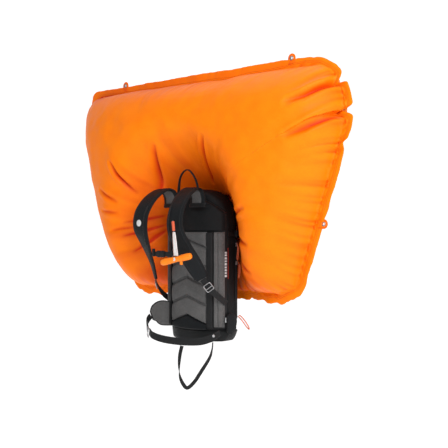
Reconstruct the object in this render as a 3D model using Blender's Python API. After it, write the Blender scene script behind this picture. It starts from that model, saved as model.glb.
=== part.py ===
"""Avalanche airbag backpack: a small ski-touring pack with its airbag inflated behind it.

The frame: the origin is the middle of the lumbar pad's face, where the pack meets the wearer.
+Z is up, +Y points away from the wearer into the pack, and +X is the wearer's right-hand side.
All sizes are in metres.
"""

import math

import bmesh
import bpy
from mathutils import Matrix, Vector

# ---- clearances --------------------------------------------------------------------------
GAP = 0.0004              # between pieces that touch
RUN = 0.0012              # between pieces that move past each other

# ---- pack body ---------------------------------------------------------------------------
PACK_HALF_WIDTH = 0.130
PACK_BOTTOM = -0.100
PACK_TOP = 0.400
PACK_REAR = 0.150         # how far the pack reaches behind the back pad's face
PACK_MIDDLE = 0.075       # the widest line of the pack's section
SHOULDER_START = 0.270    # where the sides begin to round in towards the top
SHELL_WALL = 0.003
COVER_WALL = 0.002
COVER_HEIGHT = 0.032      # how far the reinforced bottom reaches up the sides

# ---- back system, in layers behind the pad's face ----------------------------------------
PANEL_RECESS = 0.042      # how far the panel's edges fall back from its middle
PAD_DEPTH = 0.0115
BOARD_DEPTH = 0.0078
SHEET_DEPTH = 0.0020
STAY_DEPTH = 0.0030
PAD_HALF_WIDTH = 0.080
SPINE_WIDTH = 0.020
PAD_TOP = 0.258
PAD_BOTTOM = -0.066
CHEVRON_APEX = -0.016
CHEVRON_SLOPE = 0.36
YOKE_TOP = 0.372
SHELL_FACE = PAD_DEPTH + BOARD_DEPTH + 2 * GAP

# ---- airbag ------------------------------------------------------------------------------
BAG_BOTTOM = 0.025
BAG_TOP = 0.805
BAG_HALF_TOP = 0.656
BAG_HALF_BOTTOM = 0.375
BAG_CORNER = 0.065
BAG_LEFT_BOW = 0.022      # the left edge bows out by this much at mid-height
BAG_TUCKED_CORNER = 0.270 # the upper right corner, which is folded in on itself
BAG_FLANGE = 0.035        # the welded edge outside the seam
BAG_SHEET = 0.003         # two fabric layers with their tape
BAG_SEAM_Y = 0.125
BAG_FRONT = 0.235         # how far the left lobe swells in front of the seam
BAG_FRONT_RIGHT = 0.175   # and the right one, which is softer beside the tucked corner
BAG_REAR = 0.130
BAG_FULLNESS = 4          # higher is boxier
NEST_HALF_WIDTH = 0.220   # the hollow that the pack sits in
NEST_DEPTH = 0.055
NEST_EDGE = 0.050         # how gently the hollow ends above the pack
NEST_TOP = 0.470
TAB_RADIUS = 0.014
TAB_HOLE = 0.004
TAB_SPREAD = 0.440        # the upper left tab's distance from the middle
TAB_INSIDE = 0.345        # the upper right tab's, beside the folded corner
SIDE_TAB_HEIGHT = 0.282

# ---- inflation system --------------------------------------------------------------------
NECK_RADIUS = 0.036
NECK_HEIGHT = 0.290
NECK_WALL = 0.006
INFLATOR_FRONT = 0.045
INFLATOR_REAR = 0.100
CARTRIDGE_RADIUS = 0.029
CARTRIDGE_LENGTH = 0.210
VALVE_X = -0.045
VALVE_WIDTH = 0.050
VALVE_HEIGHT = 0.036
VALVE_BOTTOM = 0.185
PLUNGER_RADIUS = 0.004
SPRING_TURNS = 4
GLAND_X = 0.060
GLAND_HEIGHT = 0.350
GLAND_RADIUS = 0.0042
GLAND_LENGTH = 0.012

# ---- harness -----------------------------------------------------------------------------
STRAP_WIDTH = 0.064
STRAP_END_WIDTH = 0.040
STRAP_DEPTH = 0.012
WEBBING_WIDTH = 0.020
WEBBING_DEPTH = 0.002
BELT_WIDTH = 0.024
LEG_WIDTH = 0.012
HAUL_HALF_SPAN = 0.046
HAUL_HEIGHT = 0.462
HANDLE_LENGTH = 0.108
HANDLE_RADIUS = 0.011
LEAD_LENGTH = 0.074
CABLE_RADIUS = 0.001
CABLE_TRAVEL = 0.030      # how far the handle draws the cable out
CHEST_Y = -0.098
CHEST_HEIGHT = 0.190
BELT_LUG = (0.131, -0.006, -0.080)
LEG_ROUTE = [(0.0457, -0.0645, -0.1095), (0.0400, -0.0680, -0.1400), (0.0377, -0.0696, -0.1780),
             (0.0403, -0.0679, -0.2090), (0.0500, -0.0618, -0.2340), (0.0619, -0.0543, -0.2440),
             (0.0805, -0.0425, -0.2240), (0.0968, -0.0322, -0.1950), (0.1214, -0.0167, -0.1480),
             (0.1290, -0.0119, -0.1200), (0.1310, -0.0106, -0.0965)]
LEAD_TOP = Vector((0.090, -0.1445, 0.257))
PULL_WAY = Vector((0.0, 0.12, -0.9928))
HANDLE_WAY = Vector((0.90, 0.36, 0.22)).normalized()

# ---- side zip and compression strap ------------------------------------------------------
ZIP_Y = 0.105
ZIP_TOP = 0.232
ZIP_BOTTOM = -0.030
ZIP_UPPER = 0.215
ZIP_LOWER = 0.155
COMPRESSION_HEIGHT = 0.250

# ---- small cords -------------------------------------------------------------------------
PULL_DIAMETER = 0.0024
GEAR_CORD_DIAMETER = 0.0036
GEAR_ROUTE = [(0.112, 0.1395, -0.022), (0.116, 0.147, -0.027), (0.125, 0.158, -0.044),
              (0.133, 0.165, -0.062), (0.130, 0.170, -0.070), (0.123, 0.166, -0.063),
              (0.114, 0.158, -0.046), (0.107, 0.149, -0.032), (0.104, 0.1430, -0.026)]


# ==== building helpers ====================================================================

def clear_scene():
    """Remove everything that the file holds at its start."""
    for item in list(bpy.data.objects):
        bpy.data.objects.remove(item, do_unlink=True)


def finish(name, colour, roughness=0.6, metallic=0.0):
    """A Principled material with the part's own colour and gloss."""
    material = bpy.data.materials.new(name)
    material.use_nodes = True
    shader = material.node_tree.nodes["Principled BSDF"]
    shader.inputs["Base Color"].default_value = (*colour, 1.0)
    shader.inputs["Roughness"].default_value = roughness
    shader.inputs["Metallic"].default_value = metallic
    return material


def place(name, mesh, material, pivot=(0, 0, 0)):
    """Link a mesh as an object whose origin is at pivot, keeping its points where they are."""
    mesh.transform(Matrix.Translation(-Vector(pivot)))
    mesh.materials.append(material)
    item = bpy.data.objects.new(name, mesh)
    item.location = pivot
    bpy.context.scene.collection.objects.link(item)
    return item


def loft(name, rings, material, pivot=(0, 0, 0), closed=False, smooth=False):
    """Skin a row of equal rings; a closed row joins its last ring to its first, others are capped."""
    shape = bmesh.new()
    rows = [[shape.verts.new(point) for point in ring] for ring in rings]
    count = len(rows[0])
    pairs = list(zip(rows, rows[1:]))
    if closed:
        pairs.append((rows[-1], rows[0]))
    for near, far in pairs:
        for i in range(count):
            j = (i + 1) % count
            shape.faces.new((near[i], near[j], far[j], far[i]))
    if not closed:
        shape.faces.new(rows[0])
        shape.faces.new(rows[-1])
    bmesh.ops.triangulate(shape, faces=shape.faces)
    bmesh.ops.recalc_face_normals(shape, faces=shape.faces)
    mesh = bpy.data.meshes.new(name)
    shape.to_mesh(mesh)
    shape.free()
    if mesh_volume(mesh) < 0:
        mesh.flip_normals()
    if smooth:
        mesh.shade_smooth()
        mesh.set_sharp_from_angle(angle=math.radians(40))
    return place(name, mesh, material, pivot)


def mesh_volume(mesh):
    """The signed volume, negative where the faces point in."""
    shape = bmesh.new()
    shape.from_mesh(mesh)
    volume = shape.calc_volume(signed=True)
    shape.free()
    return volume


def spline(points, steps):
    """Catmull-Rom points through the given ones, with steps points for each span."""
    points = [Vector(p) for p in points]
    ends = [2 * points[0] - points[1]] + points + [2 * points[-1] - points[-2]]
    out = []
    for a, b, c, d in zip(ends, ends[1:], ends[2:], ends[3:]):
        for k in range(steps):
            t = k / steps
            out.append(0.5 * (2 * b + (c - a) * t + (2 * a - 5 * b + 4 * c - d) * t ** 2
                              + (3 * b - a - 3 * c + d) * t ** 3))
    return out + [points[-1]]


def tangents(path):
    """The unit direction at each point of a path."""
    before = [path[0]] + path[:-1]
    after = path[1:] + [path[-1]]
    return [(b - a).normalized() for a, b in zip(before, after)]


def strip(name, stations, depth, material, steps=3, pivot=(0, 0, 0)):
    """A flat band through stations of (point, outward normal, width), depth thick."""
    path = spline([s[0] for s in stations], steps)
    normals = spline([s[1] for s in stations], steps)
    widths = [v.x for v in spline([(s[2], 0, 0) for s in stations], steps)]
    rings = []
    for point, ahead, normal, width in zip(path, tangents(path), normals, widths):
        across = ahead.cross(normal).normalized() * width / 2
        out = across.cross(ahead).normalized() * depth / 2
        rings.append([point + across + out, point - across + out,
                      point - across - out, point + across - out])
    return loft(name, rings, material, pivot)


def circle(centre, axis, radius, sides=16):
    """Points of a circle round an axis."""
    axis = Vector(axis).normalized()
    side = axis.orthogonal().normalized()
    other = axis.cross(side)
    turn = 2 * math.pi / sides
    return [Vector(centre) + radius * (side * math.cos(turn * i) + other * math.sin(turn * i))
            for i in range(sides)]


def lathe(name, profile, start, axis, material, sides=16, closed=False, pivot=(0, 0, 0)):
    """Turn a profile of (radius, distance along the axis); a closed profile makes a ring."""
    way = Vector(axis).normalized()
    rings = [circle(Vector(start) + way * along, way, radius, sides) for radius, along in profile]
    return loft(name, rings, material, pivot, closed, smooth=True)


def box(name, low, high, material, pivot=(0, 0, 0)):
    """A plain block between two corners."""
    (x0, y0, z0), (x1, y1, z1) = low, high
    rings = [[(x0, y0, z), (x1, y0, z), (x1, y1, z), (x0, y1, z)] for z in (z0, z1)]
    return loft(name, rings, material, pivot)


def pipe(name, points, radius, material, sides=8, steps=4):
    """A round tube of solid section along a smooth path."""
    path = spline(points, steps)
    rings = []
    side = tangents(path)[0].orthogonal()
    for point, ahead in zip(path, tangents(path)):
        side = (side - ahead * side.dot(ahead)).normalized()
        other = ahead.cross(side)
        turn = 2 * math.pi / sides
        rings.append([point + radius * (side * math.cos(turn * i) + other * math.sin(turn * i))
                      for i in range(sides)])
    return loft(name, rings, material, smooth=True)


def cord(name, points, diameter, material, steps=3):
    """A free cord: a bevelled curve with filled caps."""
    curve = bpy.data.curves.new(name, "CURVE")
    curve.dimensions = "3D"
    curve.bevel_depth = diameter / 2
    curve.bevel_resolution = 2
    curve.use_fill_caps = True
    path = spline(points, steps)
    line = curve.splines.new("POLY")
    line.points.add(len(path) - 1)
    for knot, point in zip(line.points, path):
        knot.co = (*point, 1.0)
    curve.materials.append(material)
    item = bpy.data.objects.new(name, curve)
    bpy.context.scene.collection.objects.link(item)
    return item


def frame_ring(name, centre, across, along, width, height, bar, material, pivot):
    """A rectangular wire frame of square bar, as a buckle's loop is."""
    across = Vector(across).normalized()
    along = (Vector(along) - across * Vector(along).dot(across)).normalized()
    out = across.cross(along)
    rings = []
    for i, j in ((1, 1), (-1, 1), (-1, -1), (1, -1)):
        outer = Vector(centre) + across * i * width / 2 + along * j * height / 2
        inner = outer - (across * i + along * j) * bar
        rings.append([outer + out * bar / 2, inner + out * bar / 2,
                      inner - out * bar / 2, outer - out * bar / 2])
    return loft(name, rings, material, pivot, closed=True)


def cutter(item):
    """Make an object a hidden cutting tool."""
    item.hide_render = True
    item.display_type = "WIRE"
    return item


def combine(item, other, operation):
    """Cut or join item with a hidden tool object."""
    modifier = item.modifiers.new(operation.lower(), "BOOLEAN")
    modifier.operation = operation
    modifier.solver = "EXACT"
    modifier.object = cutter(other)


# ==== the pack's surfaces =================================================================

def face_y(x, depth=0.0):
    """The back system's curved face: depth is measured in from the pad's front."""
    return depth + PANEL_RECESS * (abs(x) / PACK_HALF_WIDTH) ** 3


def body_scale(z):
    """How wide the pack is at a height, as a share of its full width."""
    if z > SHOULDER_START:
        rise = min((z - SHOULDER_START) / (PACK_TOP - SHOULDER_START), 0.999)
        return (1 - rise ** 2.5) ** 0.4
    tuck = max(0.0, (PACK_BOTTOM + 0.04 - z) / 0.04)
    return 1 - 0.12 * tuck ** 2


def body_ring(z, inset=0.0, sides=28):
    """The pack's outline at a height; inset moves it in and a negative inset moves it out."""
    scale = body_scale(z)
    half = PACK_HALF_WIDTH * scale - inset
    rear = (PACK_REAR - PACK_MIDDLE) * (0.35 + 0.65 * scale) - inset
    ring = []
    for i in range(sides):
        turn = 2 * math.pi * i / sides
        c, s = math.cos(turn), math.sin(turn)
        if s >= 0:
            x = half * math.copysign(abs(c) ** (2 / 3), c)
            y = PACK_MIDDLE + rear * s ** (2 / 3)
        else:
            x = half * c
            front = PACK_MIDDLE - face_y(x, SHELL_FACE) - inset
            y = PACK_MIDDLE - front * (1 - abs(c) ** 5) ** 0.2
        ring.append((x, y, z))
    return ring


def gland_start():
    """The middle of the cable gland's front end, just behind the back board."""
    return (GLAND_X, face_y(GLAND_X + GLAND_RADIUS, SHELL_FACE) + GAP, GLAND_HEIGHT)


def rear_y(x, z):
    """The pack's rear surface."""
    scale = body_scale(z)
    half = PACK_HALF_WIDTH * scale
    rear = (PACK_REAR - PACK_MIDDLE) * (0.35 + 0.65 * scale)
    return PACK_MIDDLE + rear * (1 - (abs(x) / half) ** 3) ** (1 / 3)


def body_levels(bottom, top):
    """Heights for the pack's rings, closer together where it rounds in."""
    marks = [PACK_BOTTOM, PACK_BOTTOM + 0.012, PACK_BOTTOM + 0.04, 0.085, SHOULDER_START]
    marks += [SHOULDER_START + (PACK_TOP - SHOULDER_START) * share
              for share in (0.35, 0.6, 0.78, 0.9, 0.965, 0.992)]
    inside = [z for z in marks if bottom + 0.004 < z < top - 0.004]
    return [bottom] + inside + [top]


def panel(name, x0, x1, low, high, depth, thickness, material, columns=8, rows=1):
    """A layer of the back system between two side lines; low and high give its edges at each x."""
    rings = []
    for i in range(columns + 1):
        x = x0 + (x1 - x0) * i / columns
        heights = [low(x) + (high(x) - low(x)) * k / rows for k in range(rows + 1)]
        front = [(x, face_y(x, depth), z) for z in heights]
        back = [(x, face_y(x, depth + thickness), z) for z in reversed(heights)]
        rings.append(front + back)
    return loft(name, rings, material)


# ==== sub-assemblies ======================================================================

def build_body(cloth, tough):
    """The hollow fabric shell with its airbag port, and the reinforced bottom."""
    levels = body_levels(PACK_BOTTOM, PACK_TOP - 0.001)
    shell = loft("pack_shell", [body_ring(z) for z in levels], cloth)
    shrink = 1 - 2.4 * SHELL_WALL / (PACK_TOP - PACK_BOTTOM)
    hollow = [[(x, y, PACK_BOTTOM + SHELL_WALL + (z - PACK_BOTTOM) * shrink)
               for x, y, z in body_ring(level, SHELL_WALL)] for level in levels]
    combine(shell, loft("hollow_tool", hollow, cloth), "DIFFERENCE")
    port = NECK_RADIUS + 0.014
    low = (-port, INFLATOR_REAR + 0.01, NECK_HEIGHT - port)
    high = (port, PACK_REAR + 0.05, NECK_HEIGHT + port)
    combine(shell, box("port_tool", low, high, cloth), "DIFFERENCE")
    hole = lathe("gland_tool", [(GLAND_RADIUS + GAP, -0.01), (GLAND_RADIUS + GAP, 0.03)],
                 gland_start(), (0, 1, 0), cloth, sides=12)
    combine(shell, hole, "DIFFERENCE")

    levels = body_levels(PACK_BOTTOM, PACK_BOTTOM + COVER_HEIGHT)
    skin = COVER_WALL + GAP
    outer = [body_ring(z, -skin) for z in levels]
    outer[0] = [(x, y, PACK_BOTTOM - skin) for x, y, z in outer[0]]
    inner = [body_ring(z, -GAP) for z in reversed(levels)]
    inner[-1] = [(x, y, PACK_BOTTOM - GAP) for x, y, z in inner[-1]]
    loft("base_cover", outer + inner, tough)


def build_back_system(foam, cloth, web, plastic, alloy):
    """Pads, border, board and webbing in front of the shell; frame sheet and stays inside it."""
    edge = PACK_HALF_WIDTH - 0.002
    chevron = lambda x: CHEVRON_APEX - CHEVRON_SLOPE * abs(x)
    bottom = lambda x: PAD_BOTTOM + 0.5 * x * x
    pad_top = lambda x: PAD_TOP
    board_top = lambda x: YOKE_TOP - 0.055 * (abs(x) / PACK_HALF_WIDTH) ** 2.6

    panel("back_board", -edge, edge, bottom, board_top,
          PAD_DEPTH + GAP, BOARD_DEPTH, plastic, columns=12)
    panel("back_pad", -PAD_HALF_WIDTH, PAD_HALF_WIDTH, lambda x: chevron(x) + GAP, pad_top,
          0.0, PAD_DEPTH, foam, columns=10)
    panel("lumbar_border", -PAD_HALF_WIDTH, PAD_HALF_WIDTH, bottom, lambda x: chevron(x) - GAP,
          0.0, PAD_DEPTH, web, columns=10)
    panel("yoke_panel", -edge, edge, lambda x: PAD_TOP + 2 * GAP, board_top,
          0.0, PAD_DEPTH, cloth, columns=12)
    spine_in = PAD_HALF_WIDTH + GAP
    spine_out = spine_in + SPINE_WIDTH
    for side, word in ((-1, "left"), (1, "right")):
        panel(f"spine_webbing_{word}", side * spine_in, side * spine_out, bottom, pad_top,
              0.002, PAD_DEPTH - 0.002, web, columns=2)
        panel(f"side_pad_{word}", side * (spine_out + GAP), side * edge,
              lambda x: bottom(x) + 0.006, pad_top, 0.0, PAD_DEPTH, foam, columns=3)

    inside = SHELL_FACE + SHELL_WALL + RUN
    stay_depth = inside + SHEET_DEPTH + RUN / 2
    panel("frame_sheet", -0.080, 0.080, lambda x: -0.080, lambda x: GLAND_HEIGHT - 0.020,
          inside + RUN, SHEET_DEPTH, plastic, columns=8)
    for side, word in ((-1, "left"), (1, "right")):
        panel(f"frame_stay_{word}", side * 0.055, side * 0.070, lambda x: -0.075,
              lambda x: GLAND_HEIGHT - 0.030, stay_depth + RUN, STAY_DEPTH, alloy, columns=2)


def bag_half_width(z, side=-1):
    """The airbag's outline on one side: wide at the top, with rounded corners."""
    rise = (z - BAG_BOTTOM) / (BAG_TOP - BAG_BOTTOM)
    half = BAG_HALF_BOTTOM + (BAG_HALF_TOP - BAG_HALF_BOTTOM) * rise
    if side < 0:
        half += BAG_LEFT_BOW * math.sin(math.pi * min(1.0, max(0.0, rise)))
    upper = rise > 0.5
    corner = BAG_TUCKED_CORNER if upper and side > 0 else BAG_CORNER
    into = max(0.0, corner - (BAG_TOP - z if upper else z - BAG_BOTTOM))
    return half - corner + math.sqrt(max(0.0, corner ** 2 - into ** 2))


def bag_nest(x, z):
    """How much the pack holds the airbag back at a place, from 0 to 1."""
    side = math.exp(-(abs(x) / NEST_HALF_WIDTH) ** 4)
    return side / (1 + math.exp((z - NEST_TOP) / NEST_EDGE))


def bag_swell(x, z):
    """How far the airbag is blown up at a place, from 0 at the seam to 1 in the middle."""
    half = bag_half_width(z, x) - BAG_FLANGE
    across = min(1.0, abs(x) / half)
    middle = (BAG_TOP + BAG_BOTTOM) / 2
    up = min(1.0, abs(z - middle) / ((BAG_TOP - BAG_BOTTOM) / 2 - BAG_FLANGE))
    return (1 - across ** BAG_FULLNESS) ** 0.5 * (1 - up ** BAG_FULLNESS) ** 0.5


def bag_front_y(x, z):
    """The airbag's front surface."""
    nest = bag_nest(x, z)
    left = 1 / (1 + math.exp(x / 0.08))
    front = BAG_FRONT_RIGHT + (BAG_FRONT - BAG_FRONT_RIGHT) * left
    return BAG_SEAM_Y + NEST_DEPTH * nest - front * bag_swell(x, z) * (1 - nest)


def bag_rear_y(x, z):
    """The airbag's rear surface."""
    nest = bag_nest(x, z)
    return (BAG_SEAM_Y + NEST_DEPTH * nest + BAG_SHEET
            + BAG_REAR * bag_swell(x, z) * (1 + 0.2 * nest))


def build_airbag(fabric, clamp_metal):
    """The inflated bag with its welded flange, four retaining tabs, and the neck in its clamp."""
    columns, rows = 24, 18
    shape = bmesh.new()
    sheets = []
    for surface in (bag_front_y, bag_rear_y):
        grid = []
        for j in range(rows + 1):
            z = BAG_BOTTOM + (BAG_TOP - BAG_BOTTOM) * (1 - math.cos(math.pi * j / rows)) / 2
            turns = [math.sin(math.pi * (i / columns - 0.5)) for i in range(columns + 1)]
            xs = [bag_half_width(z, turn) * turn for turn in turns]
            grid.append([shape.verts.new((x, surface(x, z), z)) for x in xs])
        sheets.append(grid)
        for low, high in zip(grid, grid[1:]):
            for i in range(columns):
                shape.faces.new((low[i], low[i + 1], high[i + 1], high[i]))
    rims = [grid[0][:-1] + [row[-1] for row in grid[:-1]] + grid[-1][:0:-1]
            + [row[0] for row in reversed(grid[1:])] for grid in sheets]
    for i in range(len(rims[0])):
        j = (i + 1) % len(rims[0])
        shape.faces.new((rims[0][i], rims[0][j], rims[1][j], rims[1][i]))
    bmesh.ops.triangulate(shape, faces=shape.faces)
    bmesh.ops.recalc_face_normals(shape, faces=shape.faces)
    mesh = bpy.data.meshes.new("airbag")
    shape.to_mesh(mesh)
    shape.free()
    if mesh_volume(mesh) < 0:
        mesh.flip_normals()
    bag = place("airbag", mesh, fabric)

    neck_end = bag_front_y(0, NECK_HEIGHT) + 0.02
    neck = lathe("neck_tool", [(NECK_RADIUS, 0), (NECK_RADIUS, neck_end - INFLATOR_REAR - GAP)],
                 (0, INFLATOR_REAR + GAP, NECK_HEIGHT), (0, 1, 0), fabric, sides=20)
    combine(bag, neck, "UNION")
    side_z = SIDE_TAB_HEIGHT
    left_x = bag_half_width(side_z, -1)
    right_x = bag_half_width(side_z, 1)
    tabs = [(-TAB_SPREAD, BAG_TOP), (TAB_INSIDE, BAG_TOP), (-left_x, side_z), (right_x, side_z)]
    for x, z in tabs:
        y = BAG_SEAM_Y + NEST_DEPTH * bag_nest(x, z)
        step = 0.004 if z == BAG_TOP else 0.0
        centre = Vector((x + (0 if step else math.copysign(0.004, x)), y, z + step))
        tab = lathe("tab_tool", [(TAB_RADIUS, -0.0006), (TAB_RADIUS, BAG_SHEET + 0.0006)], centre,
                    (0, 1, 0), fabric, sides=16)
        combine(bag, tab, "UNION")
        hole = lathe("hole_tool", [(TAB_HOLE, 0), (TAB_HOLE, 0.04)],
                     centre + Vector((0, -0.02, 0.003 if step else 0)), (0, 1, 0), fabric, sides=10)
        combine(bag, hole, "DIFFERENCE")

    inner, outer = NECK_RADIUS + GAP, NECK_RADIUS + 0.0035
    lathe("neck_clamp", [(inner, 0), (outer, 0), (outer, 0.014), (inner, 0.014)],
          (0, INFLATOR_REAR - 0.007, NECK_HEIGHT), (0, 1, 0), clamp_metal, sides=20, closed=True)


def build_inflation(alloy, plastic, rubber, steel, red):
    """The venturi body, its grille and valve disc, the release valve and the gas cartridge."""
    bore = NECK_RADIUS - NECK_WALL
    length = INFLATOR_REAR - INFLATOR_FRONT
    lathe("inflator_body", [(bore, 0), (NECK_RADIUS, 0), (NECK_RADIUS, length), (bore, length)],
          (0, INFLATOR_FRONT, NECK_HEIGHT), (0, 1, 0), plastic, sides=20, closed=True)
    grille = lathe("intake_grille", [(bore - GAP, 0), (bore - GAP, 0.003)],
                   (0, INFLATOR_FRONT + 0.002, NECK_HEIGHT), (0, 1, 0), plastic, sides=20)
    for i in range(6):
        turn = math.pi * i / 3
        centre = (0.017 * math.cos(turn), INFLATOR_FRONT, NECK_HEIGHT + 0.017 * math.sin(turn))
        hole = lathe("grille_tool", [(0.006, 0), (0.006, 0.01)], centre, (0, 1, 0), plastic, 8)
        combine(grille, hole, "DIFFERENCE")
    disc_y = INFLATOR_FRONT + 0.012
    disc = bore - RUN
    lathe("check_valve_disc", [(disc, 0), (disc, 0.0015)], (0, disc_y, NECK_HEIGHT), (0, 1, 0),
          rubber, sides=20, pivot=(0, disc_y, NECK_HEIGHT))

    low = (VALVE_X - VALVE_WIDTH / 2, PACK_MIDDLE - 0.02, VALVE_BOTTOM)
    high = (VALVE_X + VALVE_WIDTH / 2, PACK_MIDDLE + 0.02, VALVE_BOTTOM + VALVE_HEIGHT)
    block = box("valve_block", low, high, alloy)
    socket, neck = 0.010, 0.008
    axis = (VALVE_X, PACK_MIDDLE, 0)
    socket_top = VALVE_BOTTOM + 0.012
    thread = lathe("socket_tool", [(socket, -0.01), (socket, socket_top)], axis, (0, 0, 1), alloy)
    thread_low = lathe("drill_tool",
                       [(PLUNGER_RADIUS + RUN, socket_top - 0.002), (PLUNGER_RADIUS + RUN, 0.25)],
                       axis, (0, 0, 1), alloy)
    combine(block, thread, "DIFFERENCE")
    combine(block, thread_low, "DIFFERENCE")

    base = VALVE_BOTTOM - 0.018 - CARTRIDGE_LENGTH
    profile = [(0.012, base), (CARTRIDGE_RADIUS - 0.004, base + 0.004),
               (CARTRIDGE_RADIUS, base + 0.014), (CARTRIDGE_RADIUS, base + CARTRIDGE_LENGTH - 0.03),
               (CARTRIDGE_RADIUS - 0.006, base + CARTRIDGE_LENGTH - 0.014),
               (neck, base + CARTRIDGE_LENGTH), (neck, VALVE_BOTTOM + 0.008)]
    lathe("gas_cartridge", profile, axis, (0, 0, 1), red, sides=20, pivot=axis)

    top = VALVE_BOTTOM + VALVE_HEIGHT
    head = 0.0085
    pin = PLUNGER_RADIUS
    profile = [(pin * 0.4, socket_top + 0.003), (pin, socket_top + 0.008), (pin, top + 0.015),
               (head, top + 0.0151), (head, top + 0.019), (head * 0.7, top + 0.020)]
    lathe("firing_plunger", profile, axis, (0, 0, 1), steel, sides=12, pivot=axis)
    wire = 0.0007
    low_end, high_end = top + wire + GAP, top + 0.0151 - wire - GAP
    turns = [(math.tau * k / 10, k / (10 * SPRING_TURNS)) for k in range(10 * SPRING_TURNS + 1)]
    radius = pin + RUN + wire + 0.0006
    coil = [(VALVE_X + radius * math.cos(a), PACK_MIDDLE + radius * math.sin(a),
             low_end + (high_end - low_end) * share) for a, share in turns]
    pipe("plunger_spring", coil, wire, steel, sides=5, steps=1)

    side_x = VALVE_X - VALVE_WIDTH / 2
    pivot = (side_x, PACK_MIDDLE, top - 0.010)
    lever = box("arming_lever", (side_x - 0.006, PACK_MIDDLE - 0.007, top - 0.018),
                (side_x - RUN, PACK_MIDDLE + 0.007, top + 0.032), red, pivot=pivot)
    eye = lathe("eye_tool", [(0.003, -0.01), (0.003, 0.01)], pivot, (1, 0, 0), red, sides=10)
    combine(lever, eye, "DIFFERENCE")

    pipe_radius = 0.004
    start = (VALVE_X + VALVE_WIDTH / 2 + GAP, PACK_MIDDLE, VALVE_BOTTOM + 0.020)
    end = (0, PACK_MIDDLE, NECK_HEIGHT - NECK_RADIUS - GAP)
    pipe("feed_pipe", [start, (-0.010, PACK_MIDDLE, start[2] + 0.001),
                       (-0.001, PACK_MIDDLE, start[2] + 0.014), end], pipe_radius, steel)
    gland = GLAND_RADIUS
    collar = GLAND_LENGTH - 0.004
    lathe("cable_gland", [(gland, 0), (gland, collar), (gland + 0.002, collar + 0.0002),
                          (gland + 0.002, GLAND_LENGTH)], gland_start(), (0, 1, 0), plastic, 12)
    gland_end = gland_start()[1] + GLAND_LENGTH + GAP
    head_top = top + 0.020
    route = [(VALVE_X, PACK_MIDDLE, head_top + 0.003), (VALVE_X - 0.004, 0.066, head_top + 0.020),
             (VALVE_X - 0.002, 0.048, 0.300), (-0.020, 0.044, 0.338), (0.020, 0.048, 0.352),
             (GLAND_X - 0.012, 0.050, 0.352), (GLAND_X - 0.001, gland_end + 0.008, GLAND_HEIGHT),
             (GLAND_X, gland_end, GLAND_HEIGHT)]
    pipe("cable_sleeve", route, 0.0022, rubber, sides=8)


def strap_stations(side):
    """The padded strap's line over the shoulder, from its root on the yoke to its lower end."""
    x = lambda value: side * value
    wide, end = STRAP_WIDTH, STRAP_END_WIDTH
    return [((x(0.060), -STRAP_DEPTH / 2 - GAP, 0.342), (0, 1, 0), wide),
            ((x(0.061), -STRAP_DEPTH / 2 - 0.0015, 0.372), (0, 1, 0), wide),
            ((x(0.063), -0.024, 0.394), (0, 0.5, 0.85), wide),
            ((x(0.068), -0.054, 0.392), (0, -0.25, 0.96), wide),
            ((x(0.074), -0.096, 0.362), (0, -0.75, 0.65), wide),
            ((x(0.079), -0.126, 0.315), (0, -0.97, 0.2), wide),
            ((x(0.081), -0.128, 0.262), (x(0.05), -1, 0), wide),
            ((x(0.087), -0.097, 0.205), (x(0.25), -0.95, -0.1), wide - 0.006),
            ((x(0.097), -0.062, 0.152), (x(0.45), -0.88, -0.1), (wide + end) / 2),
            ((x(0.108), -0.036, 0.108), (x(0.6), -0.8, -0.1), end)]


def build_shoulder_straps(pad_cloth, web, steel):
    """Both padded straps with their lower webbing and strap adjusters."""
    for side, word in ((-1, "left"), (1, "right")):
        x = lambda value: side * value
        strip(f"shoulder_strap_{word}", strap_stations(side), STRAP_DEPTH, pad_cloth)
        start = (x(0.1090), -0.0345, 0.1055)
        anchor = (x(PACK_HALF_WIDTH + WEBBING_DEPTH / 2 + 0.0006), 0.056, 0.024)
        stations = [(start, (x(0.6), -0.8, -0.1), WEBBING_WIDTH),
                    ((x(0.122), -0.010, 0.072), (x(0.7), -0.7, -0.1), WEBBING_WIDTH),
                    ((x(0.1310), 0.024, 0.044), (x(0.94), -0.35, 0), WEBBING_WIDTH),
                    (anchor, (x(1), 0, 0), WEBBING_WIDTH)]
        strip(f"strap_webbing_{word}", stations, WEBBING_DEPTH, web)
        outward = Vector((x(0.66), -0.74, -0.1)).normalized()
        run = Vector((x(0.013), 0.0245, -0.0335)).normalized()
        across = run.cross(outward).normalized()
        outward = across.cross(run)
        centre = Vector((x(0.1185), -0.0165, 0.081)) + outward * (WEBBING_DEPTH / 2 + 0.004)
        size, bar = 0.028, 0.003
        pivot = centre - run * (size - bar) / 2
        frame_ring(f"ladder_lock_{word}", centre, across, run, size, size, bar, steel, pivot)


def build_haul_loop(web):
    """The carrying loop that stands up between the strap roots."""
    span, y = HAUL_HALF_SPAN, PAD_DEPTH + 0.001
    low = YOKE_TOP - 0.055 * (span / PACK_HALF_WIDTH) ** 2.6 + 0.0022
    stations = [((-span, y, low), (-1, 0, 0), 0.013),
                ((-span, y, low + 0.022), (-1, 0, 0.1), 0.013),
                ((-span + 0.007, y, HAUL_HEIGHT - 0.026), (-0.9, 0, 0.4), 0.009),
                ((-span + 0.026, y, HAUL_HEIGHT - 0.003), (-0.4, 0, 0.9), 0.009),
                ((0.004, y, HAUL_HEIGHT - 0.001), (0.3, 0, 0.95), 0.009),
                ((span - 0.014, y, HAUL_HEIGHT - 0.030), (0.8, 0, 0.6), 0.009),
                ((span - 0.001, y, low + 0.024), (1, 0, 0.15), 0.010),
                ((span, y, low), (1, 0, 0), 0.010)]
    strip("haul_loop", stations, 0.0028, web, pivot=(0, y, low))


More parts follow.
